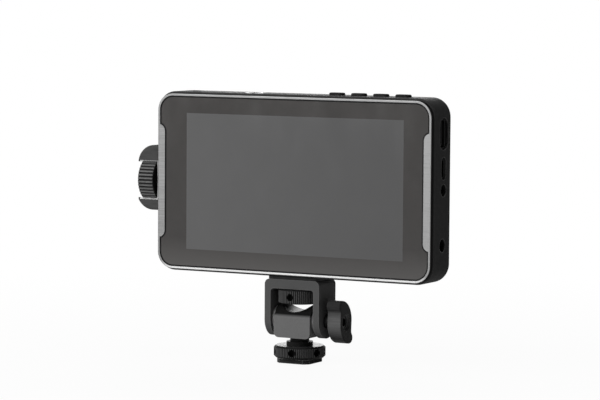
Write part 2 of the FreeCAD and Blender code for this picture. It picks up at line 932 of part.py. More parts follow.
lcd_x = -lcd_width / 2
lcd_z = monitor_z - lcd_height / 2
keep(box(lcd_x, glass_back, lcd_z, lcd_width, s.lcd_thick, lcd_height), "lcd_panel")
keep(box(lcd_x, lcd_back, lcd_z, lcd_width, s.backlight_thick, lcd_height), "backlight")

ribbon_z = lcd_z - s.ribbon_drop
mid_w = 2 * (inner_w - s.mid_margin)
mid_h = 2 * (inner_h - s.mid_margin)
mid_form = slab("XZ_Plane", light_back, s.mid_thick,
                lambda sketch: draw_rounded(sketch, ZERO, ZERO, mid_w, mid_h, s.body_corner - s.wall),
                monitor_z)
insert_notch = 2 * (s.insert_boss + s.guard_clear)
notch_high = s.insert_long + s.guard_clear
mid_tools = [
    box(-insert_notch / 2, light_back, monitor_low, insert_notch, s.mid_thick, notch_high),
    box(s.top_insert_x - insert_notch / 2, light_back, monitor_z + half_h - notch_high,
        insert_notch, s.mid_thick, notch_high),
    box(s.ribbon_x - s.ribbon_width / 2 - s.guard_clear, light_back, monitor_low,
        s.ribbon_width + 2 * s.guard_clear, s.mid_thick, ribbon_z + 2 * s.ribbon_thick - monitor_low),
    box(-half_w, light_back, dial_z - s.encoder_side / 2 - s.guard_clear,
        s.wall + s.encoder_deep + s.guard_clear, s.mid_thick, s.encoder_side + 2 * s.guard_clear),
]
CORNERS = [(-1, -1), (1, -1), (1, 1), (-1, 1)]
for sign_x, sign_z in CORNERS:
    mid_tools.append(rod("y", sign_x * boss_x, light_back, monitor_z + sign_z * boss_z,
                         s.case_screw + s.seat_gap, s.mid_thick))
keep(cut(mid_form, *mid_tools), "mid_plate")

# Rear housing: shell, bosses and lugs, then every opening

shell = new_body("shell")
sketch = sketch_on(shell, "XZ_Plane", frame_back)
draw_rounded(sketch, ZERO, ZERO, s.body_width, s.body_height, s.body_corner)
extrude(shell, sketch, rear_y - frame_back, backward=True)
soften(shell, "Fillet", s.rear_round, lambda edge: near(edge.BoundBox.YMin, rear_y))
soften(shell, "Fillet", s.case_edge, lambda edge: near(edge.BoundBox.YMax, frame_back))
sketch = sketch_on(shell, "XZ_Plane", frame_back)
draw_rounded(sketch, ZERO, ZERO, 2 * inner_w, 2 * inner_h, s.body_corner - s.wall)
extrude(shell, sketch, inner_rear - frame_back, "Pocket")
place(shell, z=monitor_z)

housing_parts = [shell]
housing_tools = []
for sign_x, sign_z in CORNERS:
    x, z = sign_x * boss_x, monitor_z + sign_z * boss_z
    housing_parts.append(rod("y", x, mid_back, z, s.boss_radius, inner_rear - mid_back))
    housing_tools.append(rod("y", x, mid_back, z, s.case_screw + s.seat_gap, rear_y - mid_back))
    housing_tools.append(rod("y", x, rear_y - s.case_head_thick, z,
                             s.case_head + s.seat_gap, s.case_head_thick))
POSTS = [(post_left, -1), (post_right, -1), (post_right, 1), (post_left, 1)]
for x, sign_z in POSTS:
    z = monitor_z + sign_z * post_z
    housing_parts.append(rod("y", x, board_back, z, s.post_radius, inner_rear - board_back))
    housing_tools.append(rod("y", x, board_back, z, s.board_screw + s.seat_gap, inner_rear - board_back))

# Threaded inserts in their bosses, top and bottom

insert_bore = s.screw_radius + s.running_gap
for x, low, boss_low in ((ZERO, monitor_low, monitor_low + s.wall),
                         (s.top_insert_x, monitor_z + half_h - s.insert_long,
                          monitor_z + half_h - s.insert_long)):
    housing_parts.append(rod("z", x, ZERO, boss_low, s.insert_boss, s.insert_long - s.wall))
    housing_tools.append(rod("z", x, ZERO, low, s.insert_out + s.seat_gap, s.insert_long))


def thread_insert(x, low):
    return cut(
        rod("z", x, ZERO, low, s.insert_out, s.insert_long),
        rod("z", x, ZERO, low, insert_bore, s.insert_long),
    )


keep(thread_insert(ZERO, monitor_low), "bottom_insert")
keep(thread_insert(s.top_insert_x, monitor_z + half_h - s.insert_long), "top_insert")

# Keys on the top edge, their switches and the boards under them

key_top = monitor_z + half_h
key_ceiling = key_top - s.wall - s.running_gap
flange_low = key_ceiling - s.key_flange_thick
stem_low = flange_low - s.key_stem_long
dome_top = stem_low - s.key_travel - s.running_gap
switch_top = dome_top - s.switch_dome_high
strip_top = switch_top - s.switch_high
strip_low = strip_top - s.strip_thick
lug_low = strip_low - s.lug_thick


def switch(x):
    return fuse(
        box(x - s.switch_side / 2, -s.switch_side / 2, strip_top, s.switch_side, s.switch_side, s.switch_high),
        rod("z", x, ZERO, switch_top, s.switch_dome, s.switch_dome_high),
    )


def top_key(x):
    cap = new_body("cap")
    sketch = sketch_on(cap, "XY_Plane", flange_low)
    draw_rounded(sketch, ZERO, ZERO, s.key_long, s.key_deep, s.key_corner)
    extrude(cap, sketch, key_top + s.key_proud - flange_low)
    soften(cap, "Fillet", s.key_round, lambda edge: near(edge.BoundBox.ZMin, key_top + s.key_proud))
    place(cap, x=x)
    wide = s.key_long + 2 * s.key_flange
    deep = s.key_deep + 2 * s.key_flange
    return fuse(
        cap,
        box(x - wide / 2, -deep / 2, flange_low, wide, deep, s.key_flange_thick),
        rod("z", x, ZERO, stem_low, s.key_stem, s.key_stem_long),
    )


key_places = [key_first + n * s.key_pitch for n in range(SIZES["key_count"])]
for number, x in enumerate(key_places, start=1):
    keep(top_key(x), f"top_key_{number}")
    opening = slab("XY_Plane", key_top - s.wall, s.wall, lambda sketch: draw_rounded(
        sketch, ZERO, ZERO, s.key_long + 2 * s.key_play, s.key_deep + 2 * s.key_play,
        s.key_corner + s.key_play))
    place(opening, x=x)
    housing_tools.append(opening)
keep(group([switch(x) for x in key_places]), "key_switches")

strip_start = key_places[0] - s.strip_over
strip_end = key_places[3] + s.strip_over
strip_deep = 2 * s.strip_half
keep(box(strip_start, -s.strip_half, strip_low, strip_end - strip_start, strip_deep, s.strip_thick),
     "key_board")

power_flange = s.power_radius + s.key_flange
power_key = fuse(
    rod("z", power_x, ZERO, flange_low, s.power_radius, key_top + s.power_proud - flange_low),
    rod("z", power_x, ZERO, flange_low, power_flange, s.key_flange_thick),
    rod("z", power_x, ZERO, stem_low, s.key_stem, s.key_stem_long),
)
keep(power_key, "power_key")
housing_tools.append(rod("z", power_x, ZERO, key_top - s.wall, s.power_radius + s.key_play, s.wall))
keep(switch(power_x), "power_switch")
power_start = power_x - s.power_board_half
power_end = power_x + s.power_board_half
keep(box(power_start, -s.strip_half, strip_low, power_end - power_start, strip_deep, s.strip_thick),
     "power_board")
lug_deep = inner_rear + s.strip_half
for x in (strip_start, strip_end - s.lug_width, power_start, power_end - s.lug_width):
    housing_parts.append(box(x, -s.strip_half, lug_low, s.lug_width, lug_deep, s.lug_thick))

# Main board with its screws, chip and heat path

board_low = monitor_z - board_half
board_form = box(board_left, s.board_front, board_low,
                 board_right - board_left, s.board_thick, 2 * board_half)
board_holes = [
    rod("y", x, s.board_front, monitor_z + sign * post_z, s.board_screw + s.seat_gap, s.board_thick)
    for x, sign in POSTS
]
keep(cut(board_form, *board_holes), "main_board")
board_screws = [
    fuse(
        rod("y", x, s.board_front - s.board_head_thick, monitor_z + sign * post_z,
            s.board_head, s.board_head_thick),
        rod("y", x, s.board_front, monitor_z + sign * post_z,
            s.board_screw, inner_rear - s.board_front - s.running_gap),
    )
    for x, sign in POSTS
]
keep(group(board_screws), "board_screws")
chip_low = monitor_z + s.chip_z - s.chip_side / 2
chip_left = s.chip_x - s.chip_side / 2
chip_front = s.board_front - s.chip_thick
keep(box(chip_left, chip_front, chip_low, s.chip_side, s.chip_thick, s.chip_side), "processor_chip")
keep(box(chip_left, mid_back, chip_low, s.chip_side, chip_front - mid_back, s.chip_side), "thermal_block")

# Display ribbon: down from the panel, back under the plate, up to its socket

ribbon = new_body("ribbon")
sketch = sketch_on(ribbon, "YZ_Plane", s.ribbon_x - s.ribbon_width / 2)
half_film = s.ribbon_thick
ribbon_y = (glass_back + lcd_back) / 2
socket_front = s.board_front - s.ribbon_socket_high
ribbon_rise = board_low + s.ribbon_socket_high
draw_outline(sketch, (ribbon_y, lcd_z), [
    (ribbon_y, ribbon_z),
    (socket_front + half_film, ribbon_z),
    (socket_front + half_film, ribbon_rise),
    (socket_front, ribbon_rise),
    (socket_front, ribbon_z + half_film),
    (ribbon_y + half_film, ribbon_z + half_film),
    (ribbon_y + half_film, lcd_z),
    (ribbon_y, lcd_z),
])
extrude(ribbon, sketch, s.ribbon_width)
keep(ribbon, "display_ribbon")
ribbon_socket_x = s.ribbon_x - s.ribbon_width / 2
ribbon_socket = box(ribbon_socket_x, socket_front + half_film, board_low, s.ribbon_width,
                    s.board_front - socket_front - half_film, s.ribbon_socket_high)
keep(ribbon_socket, "ribbon_connector")

# Side ports: sockets on the main board and their openings in the right wall

socket_face = half_w - s.socket_back
hdmi_face = half_w - s.hdmi_recess_depth


def bar(axis_start, length, y, z, high, long, draw):
    """Body along X from axis_start, with a profile drawn about (y, z)."""
    return slab("YZ_Plane", axis_start, length, lambda sketch: draw(sketch, y, z, high, long), monitor_z)


def rounded_bar(start, length, y, z, high, long, radius):
    return slab("YZ_Plane", start, length,
                lambda sketch: draw_rounded(sketch, y, z, high, long, radius), monitor_z)


hdmi_start = hdmi_face - s.hdmi_deep
hdmi_well = s.hdmi_deep - s.wall
tongue_high = s.hdmi_high / 4
tongue_long = s.hdmi_long - 6 * s.hdmi_lip
hdmi_socket = fuse(
    cut(
        rounded_bar(hdmi_start, s.hdmi_deep, s.port_y, hdmi_place, s.hdmi_high, s.hdmi_long, s.hdmi_lip),
        rounded_bar(hdmi_face - hdmi_well, hdmi_well, s.port_y, hdmi_place,
                    s.hdmi_high - 2 * s.hdmi_lip, s.hdmi_long - 2 * s.hdmi_lip, s.hdmi_lip),
    ),
    box(hdmi_start, s.port_y - tongue_high / 2, monitor_z + hdmi_place - tongue_long / 2,
        s.hdmi_deep - s.hdmi_lip, tongue_high, tongue_long),
)
keep(hdmi_socket, "hdmi_socket")
housing_tools.append(bar(hdmi_face, s.hdmi_recess_depth, s.port_y, hdmi_place,
                         s.hdmi_recess_high, s.hdmi_recess_long, draw_racetrack))
housing_tools.append(rounded_bar(inner_w, s.wall, s.port_y, hdmi_place, s.hdmi_high + 2 * s.seat_gap,
                                 s.hdmi_long + 2 * s.seat_gap, s.hdmi_lip))

usb_start = socket_face - s.usb_deep
usb_well = s.usb_deep - s.wall
usb_tongue = s.usb_high / 4
usb_side = s.usb_long - s.usb_high
usb_socket = fuse(
    cut(
        bar(usb_start, s.usb_deep, s.port_y, usb_place, s.usb_high, s.usb_long, draw_racetrack),
        bar(socket_face - usb_well, usb_well, s.port_y, usb_place, s.usb_high - 2 * s.usb_lip,
            s.usb_long - 2 * s.usb_lip, draw_racetrack),
    ),
    box(usb_start, s.port_y - usb_tongue / 2, monitor_z + usb_place - usb_side / 2,
        s.usb_deep - s.wall / 2, usb_tongue, usb_side),
    box(usb_start, s.port_y + s.usb_high / 2 - s.usb_lip, monitor_z + usb_place - usb_side / 2,
        inner_w - usb_start - s.running_gap, s.board_front - s.port_y - s.usb_high / 2 + s.usb_lip, usb_side),
)
keep(usb_socket, "usb_socket")
housing_tools.append(bar(inner_w, s.wall, s.port_y, usb_place, s.usb_recess_high, s.usb_recess_long,
                         draw_racetrack))


def round_socket(y, z, radius, bore, deep):
    """Jack barrel through the wall, with a square back that sits on the board."""
    start = socket_face - deep
    barrel_start = inner_w - s.running_gap
    back_deep = s.board_front - y + radius
    return cut(
        fuse(
            rod("x", barrel_start, y, z, radius, socket_face - barrel_start),
            box(start, y - radius, z - radius, barrel_start - start, back_deep, 2 * radius),
        ),
        rod("x", start + s.wall, y, z, bore, deep - s.wall),
    )


audio_z = monitor_z + audio_place
keep(round_socket(s.port_y, audio_z, s.audio_radius, s.audio_bore, s.audio_deep), "audio_socket")
housing_tools.append(rod("x", inner_w, s.port_y, audio_z, s.audio_radius + s.seat_gap, s.wall))
dc_z = monitor_z + dc_place
dc_start = socket_face - s.dc_deep
dc_socket = fuse(
    round_socket(s.dc_y, dc_z, s.dc_radius, s.dc_bore, s.dc_deep),
    rod("x", dc_start, s.dc_y, dc_z, s.dc_pin, s.dc_deep - s.wall / 2),
)
keep(dc_socket, "dc_socket")
housing_tools.append(rod("x", inner_w, s.dc_y, dc_z, s.dc_radius + s.seat_gap, s.wall))

# Encoder in the left wall: body, bushing and nut, plunger, shaft

dial_in = -half_w - s.dial_gap
dial_out = dial_in - s.dial_length
encoder_start = -inner_w
guard_face = -half_w - s.guard_base
nut_out = guard_face - s.nut_thick
half_encoder = s.encoder_side / 2
cavity_start = encoder_start + s.encoder_wall
cavity_end = encoder_start + s.encoder_deep - s.encoder_wall
plunger_end = cavity_end - s.push_travel - s.running_gap
plunger_start = plunger_end - s.plunger_thick
shaft_bore = s.shaft_radius + s.running_gap
encoder_body = cut(
    fuse(
        box(encoder_start, -half_encoder, dial_z - half_encoder,
            s.encoder_deep, s.encoder_side, s.encoder_side),
        rod("x", nut_out, ZERO, dial_z, s.bushing_radius, encoder_start - nut_out),
    ),
    rod("x", nut_out, ZERO, dial_z, shaft_bore, cavity_start - nut_out),
    rod("x", cavity_start, ZERO, dial_z, s.plunger_radius + s.running_gap, cavity_end - cavity_start),
)
keep(encoder_body, "encoder_body")
housing_tools.append(rod("x", -half_w, ZERO, dial_z, s.bushing_radius + s.seat_gap, s.wall))
encoder_nut = cut(
    hexagon("x", nut_out, ZERO, dial_z, s.nut_radius, s.nut_thick),
    rod("x", nut_out, ZERO, dial_z, s.bushing_radius + s.seat_gap, s.nut_thick),
)
keep(encoder_nut, "encoder_nut")
keep(rod("x", plunger_start, ZERO, dial_z, s.plunger_radius, s.plunger_thick), "encoder_plunger")
shaft_out = dial_in - s.shaft_in_dial
keep(rod("x", shaft_out, ZERO, dial_z, s.shaft_radius, plunger_start - shaft_out), "encoder_shaft")

# Ribbed dial about the X axis

dial = new_body("dial")
sketch = sketch_on(dial, "YZ_Plane", dial_out)
draw_circle(sketch, ZERO, ZERO, s.dial_radius)
extrude(dial, sketch, s.dial_length)
soften(dial, "Fillet", s.dial_round, lambda edge: len(edge.Vertexes) == 1)
sketch = sketch_on(dial, "YZ_Plane", dial_in)
draw_circle(sketch, ZERO, s.dial_radius, s.dial_rib)
rib_line = extrude(dial, sketch, s.dial_length, "Pocket")
polar(dial, rib_line, "X_Axis", s.dial_ribs)
sketch = sketch_on(dial, "YZ_Plane", dial_in)
draw_circle(sketch, ZERO, ZERO, s.dial_cup)
extrude(dial, sketch, s.dial_cup_depth, "Pocket")
sketch = sketch_on(dial, "YZ_Plane", dial_in)
draw_circle(sketch, ZERO, ZERO, s.shaft_radius + s.seat_gap)
extrude(dial, sketch, s.shaft_in_dial, "Pocket")
sketch = sketch_on(dial, "YZ_Plane", dial_out)
draw_circle(sketch, ZERO, ZERO, s.dial_cap + s.seat_gap)
extrude(dial, sketch, s.dial_cap_thick, "Pocket", backward=True)
place(dial, z=dial_z)
keep(dial, "dial_knob")
keep(rod("x", dial_out, ZERO, dial_z, s.dial_cap, s.dial_cap_thick), "dial_cap")

# Dial guard: two horns on a base plate, hollowed round the dial

guard = new_body("guard")
guard_out = -half_w - s.guard_reach
horn_v = s.guard_inner + s.guard_lip


def horn_curve(outer):
    middle = outer - s.guard_corner
    drop = horn_v - middle
    return guard_out + root(s.guard_corner * s.guard_corner - drop * drop), middle


upper_v = s.guard_outer + s.guard_rise
lower_v = s.guard_outer - s.guard_rise
upper_u, upper_middle = horn_curve(upper_v)
lower_u, lower_middle = horn_curve(lower_v)
sketch = sketch_on(guard, "XZ_Plane")
draw_outline(sketch, (-half_w, -lower_v), [
    (-half_w, upper_v),
    (upper_u, upper_v),
    (guard_out, horn_v, upper_u, upper_middle, 1),
    (guard_out, s.guard_inner),
    (guard_face, s.guard_inner),
    (guard_face, -s.guard_inner),
    (guard_out, -s.guard_inner),
    (guard_out, -horn_v),
    (lower_u, -lower_v, lower_u, -lower_middle, 1),
    (-half_w, -lower_v),
])
extrude(guard, sketch, 2 * s.guard_half_depth, symmetric=True)
soften(guard, "Chamfer", s.guard_bevel, lambda edge: (
    near(abs(edge.CenterOfMass.y), s.guard_half_depth)
    and edge.BoundBox.XMax < -half_w.value - 1e-3
))
place(guard, z=dial_z)
guard_cut = cut(
    guard,
    rod("x", guard_out, ZERO, dial_z, s.dial_radius + s.guard_clear, guard_face - guard_out),
    rod("x", guard_face, ZERO, dial_z, s.bushing_radius + s.seat_gap, s.guard_base),
)
keep(guard_cut, "dial_guard")

# Battery plate on the back, with rails, lips, contact block and latch opening

plate_back = rear_y + s.plate_thick
rail_back = plate_back + s.rail_high
half_plate = s.plate_width / 2
plate_form = slab("XZ_Plane", rear_y, s.plate_thick, lambda sketch: draw_rounded(
    sketch, ZERO, ZERO, s.plate_width, s.plate_height, s.plate_corner), monitor_z)
plate_parts = [plate_form]
rail_long = s.plate_height - 2 * s.plate_corner
for side_sign in (-1, 1):
    rail_x = half_plate - s.rail_width if side_sign > 0 else -half_plate
    plate_parts.append(box(rail_x, plate_back, monitor_z - rail_long / 2, s.rail_width, s.rail_high, rail_long))
    lip_x = rail_x - s.lip_width if side_sign > 0 else rail_x + s.rail_width
    for sign_z in (-1, 1):
        plate_parts.append(box(lip_x, rail_back - s.lip_thick, monitor_z + sign_z * s.lip_z - s.lip_long / 2,
                               s.lip_width, s.lip_thick, s.lip_long))
contact_low = monitor_z + s.contact_z - s.contact_high / 2
plate_parts.append(box(-s.contact_width / 2, plate_back, contact_low,
                       s.contact_width, s.contact_proud, s.contact_high))
plate_tools = []
contacts = []
for number in (-1, 0, 1):
    slot_x = number * s.blade_pitch
    slot_wide = 3 * s.blade_wide
    plate_tools.append(box(slot_x - slot_wide / 2, plate_back, contact_low + s.blade_wide,
                           slot_wide, s.contact_proud, s.contact_high - s.blade_wide))
    contacts.append(box(slot_x - s.blade_wide / 2, plate_back, contact_low + s.blade_wide,
                        s.blade_wide, s.contact_proud - s.blade_wide / 2, s.blade_long))
latch_z = monitor_z + s.latch_z
latch_wide = s.latch_width + 2 * s.latch_play
latch_tall = s.latch_high + 2 * s.latch_play
flange_wide = s.latch_width + 2 * s.latch_flange
flange_tall = s.latch_high + 2 * s.latch_flange
pocket_wide = flange_wide + 2 * s.latch_play
pocket_tall = flange_tall + 2 * s.latch_play
latch_room = s.latch_flange_thick + s.running_gap
plate_tools.append(box(s.latch_x - latch_wide / 2, rear_y, latch_z - latch_tall / 2,
                       latch_wide, s.plate_thick, latch_tall))
plate_tools.append(box(s.latch_x - pocket_wide / 2, rear_y, latch_z - pocket_tall / 2,
                       pocket_wide, latch_room, pocket_tall))
housing_tools.append(box(s.latch_x - pocket_wide / 2, inner_rear, latch_z - pocket_tall / 2,
                         pocket_wide, s.wall, pocket_tall))
plate_screws = []
for sign_x, sign_z in CORNERS:
    x, z = sign_x * s.plate_screw_x, monitor_z + sign_z * s.plate_screw_z
    head_y = plate_back - s.plate_head_thick
    plate_tools.append(rod("y", x, rear_y, z, s.plate_screw + s.seat_gap, s.plate_thick))
    plate_tools.append(rod("y", x, head_y, z, s.plate_head + s.seat_gap, s.plate_head_thick))
    housing_tools.append(rod("y", x, inner_rear, z, s.plate_screw + s.seat_gap, s.wall))
    plate_screws.append(cut(
        fuse(
            rod("y", x, inner_rear, z, s.plate_screw, head_y - inner_rear),
            rod("y", x, head_y, z, s.plate_head, s.plate_head_thick),
        ),
        hexagon("y", x, plate_back - s.plate_head_thick / 2, z, s.plate_screw, s.plate_head_thick / 2),
    ))
keep(cut(fuse(*plate_parts), *plate_tools), "battery_plate")
keep(group(contacts), "battery_contacts")
keep(group(plate_screws), "plate_screws")

latch_base = rear_y
battery_latch = fuse(
    box(s.latch_x - s.latch_width / 2, latch_base, latch_z - s.latch_high / 2,
        s.latch_width, s.plate_thick + s.latch_proud, s.latch_high),
    box(s.latch_x - flange_wide / 2, latch_base, latch_z - flange_tall / 2,
        flange_wide, s.latch_flange_thick, flange_tall),
)
keep(battery_latch, "battery_latch")

# Case screws from the back through the bosses into the mid plate

case_screws = []
for sign_x, sign_z in CORNERS:
    x, z = sign_x * boss_x, monitor_z + sign_z * boss_z
    head_y = rear_y - s.case_head_thick
    case_screws.append(cut(
        fuse(
            rod("y", x, light_back, z, s.case_screw, head_y - light_back),
            rod("y", x, head_y, z, s.case_head, s.case_head_thick),
        ),
        hexagon("y", x, rear_y - s.case_head_thick / 2, z, s.case_screw, s.case_head_thick / 2),
    ))
keep(group(case_screws), "case_screws")

# Vent slots in the back wall, one column each side of the battery plate

for side_sign in (-1, 1):
    for number in range(SIZES["vent_count"]):
        offset = (number - (s.vent_count - 1) / 2) * s.vent_pitch
        housing_tools.append(box(side_sign * s.vent_x - s.vent_long / 2, inner_rear,
                                 monitor_z + offset - s.vent_high / 2, s.vent_long, s.wall, s.vent_high))

keep(cut(fuse(*housing_parts), *housing_tools), "rear_housing")

# Recompute, check and write one file for each piece

doc.recompute()
for item in doc.Objects:
    if "Invalid" in item.State or "Error" in item.State:
        raise RuntimeError(f"{item.Name} {item.Label}: {item.State}")
os.makedirs("parts", exist_ok=True)
for piece in pieces:
    shape = piece.Shape
    if shape.isNull() or not shape.isValid() or not shape.Solids:
        raise RuntimeError(f"{piece.Label} has no valid solid")
    shape.exportStep(f"parts/{piece.Label}.step")
    box_now = shape.BoundBox
    print(f"{piece.Label:18s} solids {len(shape.Solids)} volume {shape.Volume:9.1f} "
          f"x {box_now.XMin:.2f}..{box_now.XMax:.2f} y {box_now.YMin:.2f}..{box_now.YMax:.2f} "
          f"z {box_now.ZMin:.2f}..{box_now.ZMax:.2f}")
print("pieces", len(pieces))
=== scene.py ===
import math

import bpy
from mathutils import Matrix, Vector


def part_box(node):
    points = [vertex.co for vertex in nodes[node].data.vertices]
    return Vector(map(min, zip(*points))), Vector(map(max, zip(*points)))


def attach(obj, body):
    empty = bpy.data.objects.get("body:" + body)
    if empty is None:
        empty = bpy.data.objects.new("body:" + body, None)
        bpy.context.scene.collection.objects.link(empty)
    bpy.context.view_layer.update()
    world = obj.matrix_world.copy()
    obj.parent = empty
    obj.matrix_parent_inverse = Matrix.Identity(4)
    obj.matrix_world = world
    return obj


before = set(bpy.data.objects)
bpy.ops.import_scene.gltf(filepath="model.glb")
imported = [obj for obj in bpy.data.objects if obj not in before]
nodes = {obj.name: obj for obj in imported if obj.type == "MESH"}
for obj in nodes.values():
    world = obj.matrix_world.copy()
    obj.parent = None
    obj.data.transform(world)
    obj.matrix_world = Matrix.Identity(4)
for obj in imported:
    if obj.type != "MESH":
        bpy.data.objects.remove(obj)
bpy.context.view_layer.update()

# Places on the monitor, in metres, in the same frame as the solids

MM = 0.001
SCREEN_HALF_WIDTH = 60.88 * MM
SCREEN_HALF_HEIGHT = 34.25 * MM
SCREEN_MIDDLE = 88.5 * MM
SCREEN_ACROSS = 0.81 * MM
GLASS_LOW = 43.5 * MM
BORDER_RISE_TOP = SCREEN_MIDDLE - SCREEN_HALF_HEIGHT + 6 * MM
FRAME_FRONT = -10.2 * MM
FRAME_FACE_DEPTH = 0.10 * MM
FRAME_HALF_WIDTH = 70 * MM
BOTTOM_RIM_TOP = GLASS_LOW + 4 * MM
HOUSING_BACK = 10.2 * MM
HOUSING_WALL = 2.0 * MM
MONITOR_MIDDLE = 88.2 * MM
PORT_LINE = 1.7 * MM
HDMI_HEIGHT = 116.1 * MM
HDMI_HALF_HEIGHT = 8.0 * MM
HDMI_HALF_DEPTH = 5.0 * MM
HDMI_RECESS = 76.8 * MM
RECESS_FLOOR = HDMI_RECESS - 0.5 * MM
RECESS_HALF_BAND = 0.7 * MM
DIAL_HEIGHT = 88.1 * MM
DIAL_RADIUS = 11.5 * MM
DIAL_RIB_DEPTH = 0.4 * MM
GUARD_BEVEL_OUTER = 9.85 * MM
GUARD_BEVEL_BACK = -7.85 * MM
GUARD_BEVEL_END = -88.4 * MM

# Places on the bracket

LOCK_RADIUS = 12.9 * MM
LOCK_TOP = 8.6 * MM
THUMB_RADIUS = 10.75 * MM
THUMB_LOW = 29.7 * MM
KNURL_DEPTH = 0.3 * MM
WHEEL_FACE_BAND = 0.1 * MM
PIVOT_HEIGHT = 21.4 * MM
# Radii where the painted highlight on the lever's hub fades into painted shade
HUB_LIGHT_RADIUS = 5.5 * MM
HUB_DARK_RADIUS = 8.5 * MM
LEVER_END_BAND = 0.2 * MM
# Heights where the painted shadow over the knuckle starts and becomes full
KNUCKLE_SHADOW_START = 23.2 * MM
KNUCKLE_SHADOW_FULL = 24.6 * MM
GROOVE_AXIS = 37.0 * MM
GROOVE_REACH = 11.5 * MM + 0.05 * MM

# Small pieces that the scene adds

VENT_ACROSS = 49 * MM
VENT_MESH_WIDTH = 27 * MM
VENT_MESH_HEIGHT = 35 * MM
VENT_MESH_CELLS = (30, 38)
VENT_MESH_GAP = 0.12 * MM
VENT_WIRE = 0.22 * MM
THREAD_BORE = 3.235 * MM
THREAD_RIDGE = 0.28 * MM
THREAD_BITE = 0.05 * MM
THREAD_PITCH = 1.27 * MM
THREAD_TURNS = 4
THREAD_STEPS = 40
THREAD_DEPTH = 5.6 * MM
RIDGE_SIZE = (9 * MM, 0.5 * MM, 0.7 * MM)
RIDGE_LIFT = 0.15 * MM
RIDGE_ROUND = 0.15 * MM
RIDGE_SPACING = 1.7 * MM
CONTACT_SETBACK = 1.2 * MM
CONTACT_THICKNESS = 0.10 * MM
CONTACT_ROUND = 0.03 * MM

# Studio, and the camera as found from the screen's corners in the photograph

WHITE = (1.0, 1.0, 1.0, 1.0)
PAPER_GREY = (0.55, 0.55, 0.55, 1.0)
FLOOR_SIZE = 16.0
FLOOR_DROP = 0.02 * MM
SHADOW_NEAR = 0.08
SHADOW_FAR = 0.45
SHADOW_WHITE = 0.945
AMBIENT = 0.06
LIT_POINT = (0.0, 0.0, 0.08)
CAMERA_PLACE = (0.699474, -1.286085, 0.194776)
CAMERA_TURN = 0.498385582
CAMERA_TIP = 0.0776582269
CAMERA_ROLL = 0.00705514814
CAMERA_LENS = 177.51
CAMERA_SENSOR = 36.0
CAMERA_NEAR = 0.05

# Range that a noise texture mostly keeps to, and the sockets of a colour mix

NOISE_LOW = 0.3
NOISE_HIGH = 0.7
CELL_SMOOTHNESS = 0.6
EDGE_SAMPLES = 4
MIX_FACTOR = 0
MIX_FIRST = 6
MIX_SECOND = 7
MIX_RESULT = 2


class NodeTree:
    """Adds nodes to one tree and links them."""

    def __init__(self, tree):
        self.tree = tree

    def add(self, kind, **settings):
        node = self.tree.nodes.new(kind)
        for name, value in settings.items():
            setattr(node, name, value)
        return node

    def feed(self, socket, value):
        """Links a socket into another, or sets a plain value on it."""
        if isinstance(value, bpy.types.NodeSocket):
            self.tree.links.new(value, socket)
        else:
            socket.default_value = value

    def maths(self, operation, *values, clamp=False):
        node = self.add("ShaderNodeMath", operation=operation, use_clamp=clamp)
        for socket, value in zip(node.inputs, values):
            self.feed(socket, value)
        return node.outputs[0]

    def spread(self, factor, low, high, start=NOISE_LOW, end=NOISE_HIGH):
        """Maps start to end onto low to high, and stops there."""
        node = self.add("ShaderNodeMapRange")
        self.feed(node.inputs["Value"], factor)
        node.inputs["From Min"].default_value = start
        node.inputs["From Max"].default_value = end
        node.inputs["To Min"].default_value = low
        node.inputs["To Max"].default_value = high
        return node.outputs["Result"]


